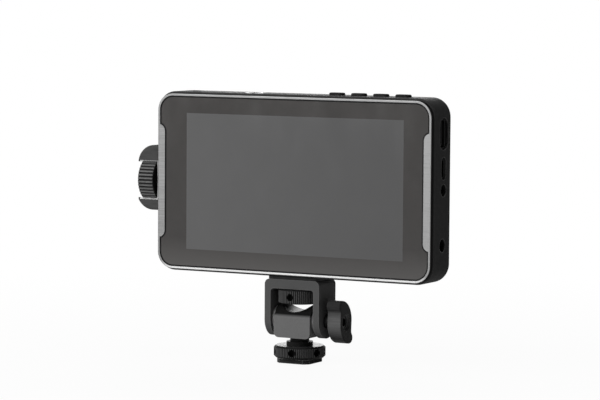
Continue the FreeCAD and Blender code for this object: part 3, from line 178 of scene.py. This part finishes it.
class Finish(NodeTree):
    """One material on object coordinates: a principled shader and the nodes that vary it."""

    def __init__(self, name, metallic=0.0, specular=0.5):
        self.material = bpy.data.materials.new(name)
        self.material.use_nodes = True
        super().__init__(self.material.node_tree)
        self.shader = self.tree.nodes["Principled BSDF"]
        self.shader.inputs["Metallic"].default_value = metallic
        self.shader.inputs["Specular IOR Level"].default_value = specular
        self.place = self.add("ShaderNodeTexCoord").outputs["Object"]
        self.axes = None

    def along(self, axis):
        """One object coordinate."""
        if self.axes is None:
            self.axes = self.add("ShaderNodeSeparateXYZ")
            self.feed(self.axes.inputs[0], self.place)
        return self.axes.outputs[axis]

    def grain(self, size, stretch=(1.0, 1.0, 1.0), detail=2.0):
        """Soft random grain of the given size, drawn out along an axis where stretch is below one."""
        turn = self.add("ShaderNodeMapping")
        self.feed(turn.inputs["Vector"], self.place)
        turn.inputs["Scale"].default_value = stretch
        noise = self.add("ShaderNodeTexNoise")
        self.feed(noise.inputs["Vector"], turn.outputs[0])
        noise.inputs["Scale"].default_value = 1.0 / size
        noise.inputs["Detail"].default_value = detail
        return noise.outputs["Fac"]

    def lines(self, size, stretch, detail=2.0):
        """Fine brushed lines across the monitor."""
        return self.grain(size, (stretch, 1.0, 1.0), detail)

    def cells(self, size):
        """Rounded cells, as on a spark-eroded mould or a blasted skin."""
        voronoi = self.add("ShaderNodeTexVoronoi", feature="SMOOTH_F1")
        self.feed(voronoi.inputs["Vector"], self.place)
        voronoi.inputs["Scale"].default_value = 1.0 / size
        voronoi.inputs["Smoothness"].default_value = CELL_SMOOTHNESS
        return voronoi.outputs["Distance"]

    def band(self, axis, middle, half):
        """One inside a band across an axis, nought outside it."""
        return self.maths("COMPARE", self.along(axis), middle, half)

    def both(self, first, second):
        """One where both masks are one."""
        return self.maths("MULTIPLY", first, second)

    def radius_from(self, axis, first, second):
        """Distance from a line along an axis, whose other two coordinates are given."""
        others = [name for name in "XYZ" if name != axis]
        sides = [self.maths("SUBTRACT", self.along(name), middle)
                 for name, middle in zip(others, (first, second))]
        squares = [self.maths("MULTIPLY", side, side) for side in sides]
        return self.maths("SQRT", self.maths("ADD", *squares))

    def turned(self, axis, first, second, pitch):
        """Fine rings left by a lathe around a line along an axis."""
        radius = self.radius_from(axis, first, second)
        wave = self.maths("SINE", self.maths("MULTIPLY", radius, math.tau / pitch))
        return self.maths("MULTIPLY_ADD", wave, 0.5, 0.5)

    def edges(self, radius, gain):
        """Painted highlight mask: bright where an edge is rounded off, as if the corners of a piece caught
        the light.
        """
        rounded = self.add("ShaderNodeBevel", samples=EDGE_SAMPLES)
        rounded.inputs["Radius"].default_value = radius
        true = self.add("ShaderNodeNewGeometry")
        dot = self.add("ShaderNodeVectorMath", operation="DOT_PRODUCT")
        self.feed(dot.inputs[0], rounded.outputs[0])
        self.feed(dot.inputs[1], true.outputs["Normal"])
        bend = self.maths("SUBTRACT", 1.0, dot.outputs["Value"])
        return self.maths("MULTIPLY", bend, gain, clamp=True)

    def mix(self, factor, first, second):
        node = self.add("ShaderNodeMix", data_type="RGBA")
        self.feed(node.inputs[MIX_FACTOR], factor)
        self.feed(node.inputs[MIX_FIRST], first)
        self.feed(node.inputs[MIX_SECOND], second)
        return node.outputs[MIX_RESULT]

    def shade(self, factor, dark, light):
        """Colour that wanders between two close tones."""
        return self.mix(self.spread(factor, 0.0, 1.0), tone(dark), tone(light))

    def painted_edge_highlight(self, skin, edge_light, radius, gain):
        """A skin painted to a lighter tone along its edges: a painted edge highlight."""
        return self.mix(self.edges(radius, gain), skin, tone(edge_light))

    def colour(self, value):
        self.feed(self.shader.inputs["Base Color"], value)

    def rough(self, factor, low, high):
        """Roughness that wanders between two values."""
        self.feed(self.shader.inputs["Roughness"], self.spread(factor, low, high))

    def shiny(self, mask, metallic):
        """Metal where the mask is one."""
        share = self.spread(mask, 0.0, metallic, start=0.0, end=1.0)
        self.feed(self.shader.inputs["Metallic"], share)

    def gloss(self, mask, weight, rough):
        """Thin clear coat where the mask is one."""
        self.feed(self.shader.inputs["Coat Weight"], self.maths("MULTIPLY", mask, weight))
        self.shader.inputs["Coat Roughness"].default_value = rough

    def relief(self, height, depth, strength):
        """Fine relief of the skin."""
        bump = self.add("ShaderNodeBump")
        bump.inputs["Strength"].default_value = strength
        bump.inputs["Distance"].default_value = depth
        self.feed(bump.inputs["Height"], height)
        self.feed(self.shader.inputs["Normal"], bump.outputs[0])


def tone(value):
    """A grey from one number, or a colour from three."""
    if isinstance(value, (int, float)):
        return (value, value, value, 1.0)
    return (*value, 1.0)


# Finishes

def moulded_plastic(name, dark, light, rough, grain_size, depth, specular, edge_light):
    """Moulded plastic with a fine spark texture, uneven gloss and a painted highlight along its edges."""
    finish = Finish(name, specular=specular)
    skin = finish.shade(finish.grain(size=9 * MM, detail=4.0), dark, light)
    finish.colour(finish.painted_edge_highlight(skin, edge_light, radius=0.7 * MM, gain=4.0))
    finish.rough(finish.grain(size=3 * MM), low=rough - 0.06, high=rough + 0.06)
    finish.relief(finish.cells(grain_size), depth, strength=0.6)
    return finish.material


def case_finish():
    """Moulded black case with a painted highlight along its edges and painted shade on the floor of the
    HDMI recess.
    """
    finish = Finish("case_black", specular=0.004)
    skin = finish.shade(finish.grain(size=2.5 * MM, detail=4.0), dark=0.046, light=0.054)
    painted_edge_highlight = finish.painted_edge_highlight(skin, edge_light=0.22, radius=0.7 * MM, gain=4.0)
    # Painted shade: near-black tone on the floor of the HDMI recess, where shade falls
    upright = finish.band("Z", HDMI_HEIGHT, HDMI_HALF_HEIGHT)
    deep = finish.band("Y", PORT_LINE, HDMI_HALF_DEPTH)
    sunk = finish.band("X", RECESS_FLOOR, RECESS_HALF_BAND)
    recess_shade = finish.both(finish.both(upright, deep), sunk)
    finish.colour(finish.mix(recess_shade, painted_edge_highlight, tone(0.012)))
    finish.rough(finish.grain(size=3 * MM), low=0.49, high=0.61)
    finish.relief(finish.cells(size=0.45 * MM), depth=0.030 * MM, strength=0.6)
    return finish.material


def blasted_metal(name, dark, light, rough, edge_light, metallic=0.0):
    """Bead-blasted and anodised metal with a painted highlight along its edges."""
    finish = Finish(name, metallic=metallic, specular=0.005)
    skin = finish.shade(finish.grain(size=0.35 * MM, detail=3.0), dark, light)
    finish.colour(finish.painted_edge_highlight(skin, edge_light, radius=0.5 * MM, gain=4.0))
    finish.rough(finish.grain(size=2.5 * MM), low=rough - 0.05, high=rough + 0.05)
    finish.relief(finish.cells(size=0.3 * MM), depth=0.012 * MM, strength=0.5)
    return finish.material


def turned_metal(name, axis, first, second, dark, light, rough, metallic, specular):
    """Metal turned on a lathe: fine rings around its axis and a painted highlight along its edges."""
    finish = Finish(name, metallic=metallic, specular=specular)
    rings = finish.turned(axis, first, second, pitch=0.22 * MM)
    body = finish.mix(rings, tone(dark), tone(light))
    # Painted edge highlight, lighter than the rings
    edge_light = min(1.0, 2.2 * light)
    finish.colour(finish.painted_edge_highlight(body, edge_light, radius=0.2 * MM, gain=2.5))
    finish.rough(finish.grain(size=1.5 * MM), low=rough - 0.06, high=rough + 0.06)
    finish.relief(rings, depth=0.006 * MM, strength=0.5)
    return finish.material


def plated_metal(name, dark, light, rough):
    """Pressed and plated metal with faint handling marks."""
    finish = Finish(name, metallic=1.0)
    finish.colour(finish.shade(finish.grain(size=1.2 * MM, detail=4.0), dark, light))
    marks = finish.grain(size=0.8 * MM, stretch=(1.0, 0.2, 1.0))
    finish.rough(marks, low=rough - 0.08, high=rough + 0.08)
    finish.relief(finish.grain(size=0.15 * MM), depth=0.004 * MM, strength=0.4)
    return finish.material


def knurled_metal(name, outer, light, rough, gloss_height):
    """Black wheel: painted shade in the knurl's grooves, a painted highlight on its crests, glossy on its
    flat face.
    """
    finish = Finish(name, specular=0.01)
    radius = finish.radius_from("Z", 0.0, 0.0)
    # Painted shade in the grooves rising to a painted highlight on the crests, by distance from the axis
    painted_crest_light = finish.spread(radius, 0.0, 1.0, start=outer - KNURL_DEPTH, end=outer)
    side = finish.maths("GREATER_THAN", radius, outer - 1.2 * KNURL_DEPTH)
    rings = finish.turned("Z", 0.0, 0.0, pitch=0.3 * MM)
    face = finish.mix(rings, tone(0.014), tone(0.024))
    knurl = finish.mix(painted_crest_light, tone(0.004), tone(light))
    finish.colour(finish.mix(side, face, knurl))
    finish.gloss(finish.band("Z", gloss_height, WHEEL_FACE_BAND), weight=0.22, rough=0.25)
    finish.rough(finish.grain(size=1.5 * MM), low=rough - 0.06, high=rough + 0.06)
    finish.relief(rings, depth=0.006 * MM, strength=0.5)
    return finish.material


def block_finish():
    """Blasted grey foot with a painted edge highlight and a painted shadow over the knuckle, with a glossy
    groove under the screw.
    """
    finish = Finish("block_grey", specular=0.005)
    skin = finish.shade(finish.grain(size=0.35 * MM, detail=3.0), dark=0.165, light=0.195)
    painted_edge_highlight = finish.painted_edge_highlight(skin, edge_light=0.26, radius=0.5 * MM, gain=4.0)
    # Painted shadow: near-black tone over the knuckle, where it lies in shade under the thumb wheel
    black = finish.shade(finish.grain(size=0.6 * MM), dark=0.008, light=0.014)
    knuckle_shadow = finish.spread(finish.along("Z"), 0.0, 1.0, start=KNUCKLE_SHADOW_START, end=KNUCKLE_SHADOW_FULL)
    finish.colour(finish.mix(knuckle_shadow, painted_edge_highlight, black))
    reach = finish.radius_from("Y", 0.0, GROOVE_AXIS)
    finish.gloss(finish.maths("LESS_THAN", reach, GROOVE_REACH), weight=0.18, rough=0.3)
    finish.rough(finish.grain(size=2.5 * MM), low=0.43, high=0.53)
    finish.relief(finish.cells(size=0.3 * MM), depth=0.012 * MM, strength=0.5)
    return finish.material


def dial_guard_finish():
    """Satin dark horns whose inner front bevels are cut bright."""
    finish = Finish("guard_satin", specular=0.005)
    from_dial = finish.maths("SUBTRACT", finish.along("Z"), DIAL_HEIGHT)
    inner = finish.maths("LESS_THAN", finish.maths("ABSOLUTE", from_dial), GUARD_BEVEL_OUTER)
    front = finish.maths("LESS_THAN", finish.along("Y"), GUARD_BEVEL_BACK)
    along = finish.maths("GREATER_THAN", finish.along("X"), GUARD_BEVEL_END)
    bright = finish.both(finish.both(inner, front), along)
    skin = finish.shade(finish.lines(size=0.5 * MM, stretch=0.08, detail=3.0), dark=0.068, light=0.096)
    finish.colour(finish.mix(bright, skin, tone(0.55)))
    finish.shiny(bright, metallic=0.9)
    finish.rough(finish.grain(size=3 * MM), low=0.38, high=0.5)
    finish.relief(finish.lines(size=0.25 * MM, stretch=0.1), depth=0.006 * MM, strength=0.4)
    return finish.material


def dial_finish():
    """Black dial with painted shade between its ribs and a painted highlight along their crests."""
    finish = Finish("dial_ribbed", specular=0.1)
    radius = finish.radius_from("X", 0.0, DIAL_HEIGHT)
    # Painted shade between the ribs and a painted highlight on the crests, patchy at random
    painted_crest_light = finish.spread(radius, 0.0, 1.0, start=DIAL_RADIUS - DIAL_RIB_DEPTH, end=DIAL_RADIUS)
    crest_light_wander = finish.spread(finish.grain(size=1.5 * MM), 0.75, 1.0)
    finish.colour(finish.mix(finish.both(painted_crest_light, crest_light_wander), tone(0.004), tone(0.175)))
    finish.rough(finish.grain(size=2 * MM), low=0.42, high=0.56)
    finish.relief(finish.cells(size=0.3 * MM), depth=0.010 * MM, strength=0.5)
    return finish.material


def lever_finish():
    """Satin lever with fine lines along its pivot, a painted highlight on its hub, painted shade on its
    arms and on its end face, and a painted edge highlight.
    """
    finish = Finish("lever_satin", specular=0.01)
    end_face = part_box("clamp_lever")[1].x
    lines = finish.lines(size=0.5 * MM, stretch=0.06, detail=3.0)
    from_pivot = finish.radius_from("X", 0.0, PIVOT_HEIGHT)
    # Painted highlight on the hub fading to painted shade on the arms, by distance from the pivot
    hub_light_share = finish.spread(from_pivot, 1.0, 0.0, start=HUB_LIGHT_RADIUS, end=HUB_DARK_RADIUS)
    painted_arm_shade = finish.shade(lines, dark=0.028, light=0.046)
    painted_hub_highlight = finish.shade(lines, dark=0.135, light=0.172)
    # Painted shade on the end face, which turns away from the light
    painted_end_shade = finish.shade(finish.grain(size=0.4 * MM), dark=0.030, light=0.040)
    end = finish.maths("GREATER_THAN", finish.along("X"), end_face - LEVER_END_BAND)
    skin = finish.mix(end, finish.mix(hub_light_share, painted_arm_shade, painted_hub_highlight), painted_end_shade)
    finish.colour(finish.painted_edge_highlight(skin, edge_light=0.17, radius=0.3 * MM, gain=2.0))
    finish.rough(finish.grain(size=1.5 * MM), low=0.34, high=0.46)
    finish.relief(finish.lines(size=0.25 * MM, stretch=0.05), depth=0.008 * MM, strength=0.5)
    return finish.material


def front_frame_finish():
    """Satin silver on the front face with painted shade towards the left and a painted highlight along the
    bottom rim, black on the sides.
    """
    finish = Finish("satin_frame", specular=0.0)
    face = finish.maths("LESS_THAN", finish.along("Y"), FRAME_FRONT + FRAME_FACE_DEPTH)
    # Painted shade: the face darker towards the left
    painted_light_across = finish.spread(finish.along("X"), -0.05, 0.2, start=-FRAME_HALF_WIDTH, end=FRAME_HALF_WIDTH)
    lines = finish.lines(size=0.5 * MM, stretch=0.06, detail=3.0)
    brushed = finish.shade(finish.maths("ADD", painted_light_across, lines), dark=0.17, light=0.23)
    # Painted highlight: the bottom rim lighter
    low = finish.spread(finish.along("Z"), 1.0, 0.0, start=GLASS_LOW, end=BOTTOM_RIM_TOP)
    front = finish.mix(low, brushed, tone(0.66))
    side = finish.shade(finish.grain(size=0.4 * MM), dark=0.020, light=0.028)
    finish.colour(finish.mix(face, side, front))
    finish.shiny(face, metallic=0.9)
    finish.rough(finish.lines(size=0.6 * MM, stretch=0.08), low=0.34, high=0.48)
    finish.relief(finish.lines(size=0.25 * MM, stretch=0.05), depth=0.006 * MM, strength=0.4)
    return finish.material


def cover_glass_finish():
    """Dark coated glass with the lighter picture area behind it, painted shading across the picture, and
    faint smears.
    """
    finish = Finish("coated_glass", specular=0.5)
    across = finish.band("X", SCREEN_ACROSS, SCREEN_HALF_WIDTH)
    upright = finish.band("Z", SCREEN_MIDDLE, SCREEN_HALF_HEIGHT)
    picture = finish.both(across, upright)
    coat = finish.shade(finish.grain(size=6 * MM), dark=(0.030, 0.027, 0.025), light=(0.035, 0.031, 0.029))
    rise = finish.spread(finish.along("Z"), 1.0, 0.0, start=GLASS_LOW, end=BORDER_RISE_TOP)
    border = finish.mix(rise, coat, tone((0.087, 0.083, 0.080)))
    # Painted shading: the picture lighter towards the left, darker towards the right
    painted_light_across = finish.spread(finish.along("X"), 0.25, -0.25, start=-SCREEN_HALF_WIDTH, end=SCREEN_HALF_WIDTH)
    smears = finish.spread(finish.grain(size=14 * MM, detail=3.0), 0.42, 0.58, start=0.0, end=1.0)
    drift = finish.maths("ADD", painted_light_across, smears)
    panel = finish.shade(drift, dark=(0.084, 0.084, 0.085), light=(0.103, 0.103, 0.104))
    finish.colour(finish.mix(picture, border, panel))
    wiped = finish.grain(size=11 * MM, stretch=(1.0, 1.0, 0.5), detail=5.0)
    finish.rough(wiped, low=0.05, high=0.13)
    finish.relief(finish.grain(size=30 * MM), depth=0.01 * MM, strength=0.15)
    return finish.material


def rubber_finish(name, dark, light, grain_size):
    """Soft rubber with a stippled skin."""
    finish = Finish(name, specular=0.2)
    finish.colour(finish.shade(finish.grain(size=4 * MM), dark, light))
    finish.rough(finish.grain(size=1.2 * MM), low=0.72, high=0.88)
    finish.relief(finish.cells(grain_size), depth=0.03 * MM, strength=0.8)
    return finish.material


def board_finish():
    """Circuit board: green mask over a mesh of tracks, with bare pads."""
    finish = Finish("board_mask", specular=0.4)
    tracks = finish.add("ShaderNodeTexBrick")
    finish.feed(tracks.inputs["Vector"], finish.place)
    tracks.inputs["Scale"].default_value = 400.0
    tracks.inputs["Color1"].default_value = tone((0.010, 0.070, 0.030))
    tracks.inputs["Color2"].default_value = tone((0.014, 0.090, 0.040))
    tracks.inputs["Mortar"].default_value = tone((0.030, 0.160, 0.070))
    finish.colour(tracks.outputs["Color"])
    finish.rough(finish.grain(size=2 * MM), low=0.3, high=0.45)
    finish.relief(tracks.outputs["Fac"], depth=0.02 * MM, strength=0.5)
    return finish.material


def ribbon_finish():
    """Amber flex film with fine copper lines along it."""
    finish = Finish("flex_film", specular=0.4)
    pitch = 0.5 * MM
    wave = finish.maths("SINE", finish.maths("MULTIPLY", finish.along("X"), math.tau / pitch))
    line = finish.maths("GREATER_THAN", wave, 0.2)
    finish.colour(finish.mix(line, tone((0.30, 0.12, 0.02)), tone((0.50, 0.24, 0.06))))
    finish.rough(finish.grain(size=2 * MM), low=0.35, high=0.5)
    finish.relief(line, depth=0.01 * MM, strength=0.5)
    return finish.material


def panel_finish():
    """Display panel back: pressed bright tray with a fine brushed face."""
    finish = Finish("panel_tray", metallic=0.8)
    finish.colour(finish.shade(finish.lines(size=0.6 * MM, stretch=0.05), dark=0.40, light=0.50))
    finish.rough(finish.grain(size=5 * MM), low=0.3, high=0.42)
    finish.relief(finish.lines(size=0.3 * MM, stretch=0.05), depth=0.006 * MM, strength=0.5)
    return finish.material


# edge_light below is the tone of each finish's painted edge highlight
case_black = case_finish()
key_black = moulded_plastic("key_black", dark=0.026, light=0.034, rough=0.42, grain_size=0.35 * MM,
                            depth=0.010 * MM, specular=0.0, edge_light=0.12)
port_black = moulded_plastic("port_black", dark=0.008, light=0.012, rough=0.45, grain_size=0.3 * MM,
                             depth=0.008 * MM, specular=0.0, edge_light=0.02)
white_nylon = moulded_plastic("white_nylon", dark=0.55, light=0.62, rough=0.4, grain_size=0.4 * MM,
                              depth=0.010 * MM, specular=0.5, edge_light=0.75)
yoke_grey = blasted_metal("yoke_grey", dark=0.096, light=0.114, rough=0.5, edge_light=0.22)
block_grey = block_finish()
shoe_black = blasted_metal("shoe_black", dark=0.030, light=0.042, rough=0.42, edge_light=0.50)
tray_black = blasted_metal("tray_black", dark=0.028, light=0.036, rough=0.5, edge_light=0.08, metallic=0.1)
lock_black = knurled_metal("lock_black", LOCK_RADIUS, light=0.100, rough=0.36, gloss_height=LOCK_TOP)
thumb_black = knurled_metal("thumb_black", THUMB_RADIUS, light=0.100, rough=0.38, gloss_height=THUMB_LOW)
cap_satin = turned_metal("cap_satin", "X", 0.0, DIAL_HEIGHT, dark=0.10, light=0.16, rough=0.3,
                         metallic=0.7, specular=0.4)
stud_black = turned_metal("stud_black", "Z", 0.0, 0.0, dark=0.014, light=0.022, rough=0.34,
                          metallic=0.0, specular=0.02)
pivot_steel = plated_metal("pivot_steel", dark=0.42, light=0.52, rough=0.3)
polished_steel = plated_metal("polished_steel", dark=0.90, light=0.96, rough=0.16)
screw_black = plated_metal("screw_black", dark=0.022, light=0.036, rough=0.38)
port_dark = blasted_metal("port_dark", dark=0.007, light=0.011, rough=0.5, edge_light=0.10)
insert_brass = plated_metal("insert_brass", dark=(0.62, 0.42, 0.16), light=(0.74, 0.54, 0.24), rough=0.28)
contact_gold = plated_metal("contact_gold", dark=(0.72, 0.50, 0.18), light=(0.84, 0.62, 0.28), rough=0.24)
pad_rubber = rubber_finish("pad_rubber", dark=0.016, light=0.024, grain_size=0.5 * MM)
gasket_rubber = rubber_finish("gasket_rubber", dark=0.006, light=0.010, grain_size=0.4 * MM)
lever_satin = lever_finish()
frame_satin = front_frame_finish()
glass_coated = cover_glass_finish()
guard_satin = dial_guard_finish()
dial_ribbed = dial_finish()
board_green = board_finish()
flex_amber = ribbon_finish()
panel_tray = panel_finish()

FINISH_OF_NODE = {
    "shoe_plate": shoe_black,
    "shoe_stud": stud_black,
    "lock_wheel": lock_black,
    "tilt_block": block_grey,
    "swivel_ring": pivot_steel,
    "yoke": yoke_grey,
    "yoke_pad": pad_rubber,
    "friction_washers": white_nylon,
    "pivot_bolt": pivot_steel,
    "lever_washer": screw_black,
    "clamp_lever": lever_satin,
    "lever_insert": screw_black,
    "thumb_wheel": thumb_black,
    "mount_screw": polished_steel,
    "front_frame": frame_satin,
    "glass_gasket": gasket_rubber,
    "cover_glass": glass_coated,
    "lcd_panel": panel_tray,
    "backlight": panel_tray,
    "mid_plate": panel_tray,
    "rear_housing": case_black,
    "dial_guard": guard_satin,
    "encoder_body": pivot_steel,
    "encoder_nut": pivot_steel,
    "encoder_plunger": white_nylon,
    "encoder_shaft": pivot_steel,
    "dial_knob": dial_ribbed,
    "dial_cap": cap_satin,
    "main_board": board_green,
    "processor_chip": port_black,
    "thermal_block": panel_tray,
    "hdmi_socket": port_dark,
    "usb_socket": port_dark,
    "audio_socket": port_black,
    "dc_socket": port_black,
    "display_ribbon": flex_amber,
    "ribbon_connector": white_nylon,
    "key_board": board_green,
    "key_switches": port_black,
    "power_board": board_green,
    "power_switch": port_black,
    "bottom_insert": insert_brass,
    "top_insert": screw_black,
    "battery_plate": tray_black,
    "battery_contacts": contact_gold,
    "case_screws": screw_black,
    "plate_screws": screw_black,
    "board_screws": pivot_steel,
    "top_key_1": key_black,
    "top_key_2": key_black,
    "top_key_3": key_black,
    "top_key_4": key_black,
    "power_key": key_black,
    "battery_latch": key_black,
}
for node_name, material in FINISH_OF_NODE.items():
    solid = nodes[node_name]
    solid.data.materials.clear()
    solid.data.materials.append(material)


# Pieces that the solids leave to the scene

def begin_piece():
    """Leaves edit mode and deselects everything."""
    if bpy.context.mode != "OBJECT":
        bpy.ops.object.mode_set(mode="OBJECT")
    bpy.ops.object.select_all(action="DESELECT")


def apply_place():
    """Puts the place, turn and size of the active piece into its mesh."""
    bpy.ops.object.transform_apply(location=True, rotation=True, scale=True)


def settle(piece, name, material, body):
    """Names a piece, puts its place into its mesh, and gives it its finish and the body it rides on."""
    begin_piece()
    piece.name = name
    piece.data.name = name
    piece.select_set(True)
    bpy.context.view_layer.objects.active = piece
    apply_place()
    piece.data.materials.clear()
    piece.data.materials.append(material)
    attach(piece, body)


def apply_modifier(piece, kind, **settings):
    """Adds a modifier with the given settings and applies it."""
    bpy.context.view_layer.objects.active = piece
    modifier = piece.modifiers.new(kind.title(), kind)
    for name, value in settings.items():
        setattr(modifier, name, value)
    bpy.ops.object.modifier_apply(modifier=modifier.name)


def small_bar(place, size, round_off):
    """A bar of the given size with rounded edges, as one new object."""
    begin_piece()
    bpy.ops.mesh.primitive_cube_add(size=1.0, location=place)
    bar = bpy.context.object
    bar.scale = size
    apply_place()
    bpy.ops.object.mode_set(mode="EDIT")
    bpy.ops.mesh.select_all(action="SELECT")
    bpy.ops.mesh.bevel(offset=round_off, segments=2, affect="EDGES")
    bpy.ops.object.mode_set(mode="OBJECT")
    return bar


def repeat(piece, steps):
    """Copies a piece at the given offsets and joins the copies with it into one object."""
    copies = []
    for step in steps:
        copy = piece.copy()
        copy.data = piece.data.copy()
        bpy.context.collection.objects.link(copy)
        copy.location = step
        copies.append(copy)
    begin_piece()
    for copy in copies:
        copy.select_set(True)
    piece.select_set(True)
    bpy.context.view_layer.objects.active = piece
    bpy.ops.object.join()


def dust_mesh(name, x):
    """Woven dust mesh glued behind one group of vent slots."""
    begin_piece()
    y = HOUSING_BACK - HOUSING_WALL - VENT_MESH_GAP
    columns, rows = VENT_MESH_CELLS
    bpy.ops.mesh.primitive_grid_add(x_subdivisions=columns, y_subdivisions=rows, size=1.0,
                                    location=(x, y, MONITOR_MIDDLE), rotation=(math.pi / 2, 0.0, 0.0))
    mesh = bpy.context.object
    mesh.scale = (VENT_MESH_WIDTH, VENT_MESH_HEIGHT, 1.0)
    apply_place()
    apply_modifier(mesh, "WIREFRAME", thickness=VENT_WIRE, use_even_offset=False)
    settle(mesh, name, screw_black, "monitor")


def insert_thread():
    """Thread ridge that winds down the bore of the top insert."""
    begin_piece()
    bpy.ops.mesh.primitive_circle_add(vertices=3, radius=THREAD_RIDGE,
                                      location=(THREAD_BORE + THREAD_BITE, 0.0, 0.0),
                                      rotation=(math.pi / 2, 0.0, 0.0))
    ridge = bpy.context.object
    apply_place()
    apply_modifier(ridge, "SCREW", axis="Z", screw_offset=THREAD_PITCH, iterations=THREAD_TURNS,
                   steps=THREAD_STEPS, render_steps=THREAD_STEPS, use_normal_calculate=True)
    low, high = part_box("top_insert")
    ridge.location = ((low.x + high.x) / 2, (low.y + high.y) / 2, high.z - THREAD_DEPTH)
    settle(ridge, "top_insert_thread", screw_black, "monitor")


def latch_ridges():
    """Thumb ridges across the battery release."""
    low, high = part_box("battery_latch")
    middle = (low + high) / 2
    ridge = small_bar((middle.x, high.y + RIDGE_LIFT, middle.z), RIDGE_SIZE, RIDGE_ROUND)
    repeat(ridge, [(0.0, 0.0, -RIDGE_SPACING), (0.0, 0.0, RIDGE_SPACING)])
    settle(ridge, "battery_latch_ridges", key_black, "latch")


def socket_contacts(name, node, count, pitch, width, length, tongue_half):
    """Row of gilt contacts on the tongue of a side socket."""
    low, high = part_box(node)
    x = high.x - CONTACT_SETBACK - length / 2
    y = PORT_LINE - tongue_half
    z = (low.z + high.z) / 2 - (count - 1) / 2 * pitch
    strip = small_bar((x, y, z), (length, CONTACT_THICKNESS, width), CONTACT_ROUND)
    repeat(strip, [(0.0, 0.0, step * pitch) for step in range(1, count)])
    settle(strip, name, contact_gold, "monitor")


dust_mesh("vent_mesh_left", -VENT_ACROSS)
dust_mesh("vent_mesh_right", VENT_ACROSS)
insert_thread()
latch_ridges()
socket_contacts("hdmi_contacts", "hdmi_socket", count=10, pitch=1.0 * MM, width=0.5 * MM,
                length=5 * MM, tongue_half=0.625 * MM)
socket_contacts("usb_contacts", "usb_socket", count=8, pitch=0.6 * MM, width=0.3 * MM,
                length=3 * MM, tongue_half=0.4125 * MM)


# Floor, light and camera

def white_to_view(studio, plain, share):
    """Joins a plain shader with white for the rays that look at the studio or mirror it."""
    path = studio.add("ShaderNodeLightPath").outputs
    looked_at = studio.maths("MAXIMUM", path["Is Camera Ray"], path["Is Glossy Ray"])
    seen = studio.maths("MAXIMUM", looked_at, path["Is Transmission Ray"])
    white = studio.add("ShaderNodeEmission")
    white.inputs["Color"].default_value = WHITE
    white.inputs["Strength"].default_value = 1.0
    mixed = studio.add("ShaderNodeMixShader")
    studio.feed(mixed.inputs[0], studio.maths("MULTIPLY", seen, share))
    studio.feed(mixed.inputs[1], plain)
    studio.feed(mixed.inputs[2], white.outputs[0])
    return mixed.outputs[0]


def studio_floor():
    """Pale paper floor that shows the shadow near the part and fades to white around it."""
    begin_piece()
    bpy.ops.mesh.primitive_plane_add(size=FLOOR_SIZE, location=(0.0, 0.0, -FLOOR_DROP))
    floor = bpy.context.object
    floor.name = "studio_floor"
    paper = bpy.data.materials.new("studio_paper")
    paper.use_nodes = True
    studio = NodeTree(paper.node_tree)
    shader = paper.node_tree.nodes["Principled BSDF"]
    shader.inputs["Base Color"].default_value = PAPER_GREY
    shader.inputs["Roughness"].default_value = 0.9
    shader.inputs["Specular IOR Level"].default_value = 0.1
    reach = studio.add("ShaderNodeVectorMath", operation="LENGTH")
    studio.feed(reach.inputs[0], studio.add("ShaderNodeTexCoord").outputs["Object"])
    fade = studio.spread(reach.outputs["Value"], SHADOW_WHITE, 1.0, start=SHADOW_NEAR, end=SHADOW_FAR)
    output = paper.node_tree.nodes["Material Output"]
    studio.feed(output.inputs["Surface"], white_to_view(studio, shader.outputs[0], fade))
    floor.data.materials.append(paper)


def studio_world():
    """Even soft light from all round, white where it is looked at."""
    world = bpy.data.worlds.new("studio_air")
    world.use_nodes = True
    studio = NodeTree(world.node_tree)
    plain = world.node_tree.nodes["Background"]
    plain.inputs["Color"].default_value = WHITE
    plain.inputs["Strength"].default_value = AMBIENT
    output = world.node_tree.nodes["World Output"]
    studio.feed(output.inputs["Surface"], white_to_view(studio, plain.outputs[0], 1.0))
    bpy.context.scene.world = world


def softbox(name, place, width, height, power):
    """Rectangular lamp turned to the middle of the part."""
    begin_piece()
    bpy.ops.object.light_add(type="AREA", location=place)
    lamp = bpy.context.object
    lamp.name = name
    lamp.data.shape = "RECTANGLE"
    lamp.data.size = width
    lamp.data.size_y = height
    lamp.data.energy = power
    lamp.rotation_euler = (Vector(LIT_POINT) - Vector(place)).to_track_quat("-Z", "Y").to_euler()


def photo_camera():
    """Camera at the photograph's place."""
    place = Vector(CAMERA_PLACE)
    level = Vector((math.cos(CAMERA_TURN), math.sin(CAMERA_TURN), 0.0))
    back = Vector((math.sin(CAMERA_TURN) * math.cos(CAMERA_TIP),
                   -math.cos(CAMERA_TURN) * math.cos(CAMERA_TIP),
                   math.sin(CAMERA_TIP)))
    upright = back.cross(level)
    side = math.cos(CAMERA_ROLL) * level + math.sin(CAMERA_ROLL) * upright
    top = math.cos(CAMERA_ROLL) * upright - math.sin(CAMERA_ROLL) * level
    bpy.ops.object.camera_add()
    camera = bpy.context.object
    camera.name = "photo_camera"
    camera.data.lens = CAMERA_LENS
    camera.data.sensor_width = CAMERA_SENSOR
    camera.data.clip_start = CAMERA_NEAR
    camera.matrix_world = Matrix((
        (side.x, top.x, back.x, place.x),
        (side.y, top.y, back.y, place.y),
        (side.z, top.z, back.z, place.z),
        (0.0, 0.0, 0.0, 1.0),
    ))
    bpy.context.scene.camera = camera


studio_floor()
studio_world()
softbox("front_softbox", place=(-1.2, -1.6, 1.0), width=2.2, height=2.0, power=43.0)
softbox("top_softbox", place=(0.0, -0.1, 1.5), width=1.2, height=1.2, power=6.0)
softbox("back_softbox", place=(-0.8, 1.4, 0.8), width=1.1, height=1.1, power=22.0)
photo_camera()
bpy.context.scene.view_settings.view_transform = "Standard"
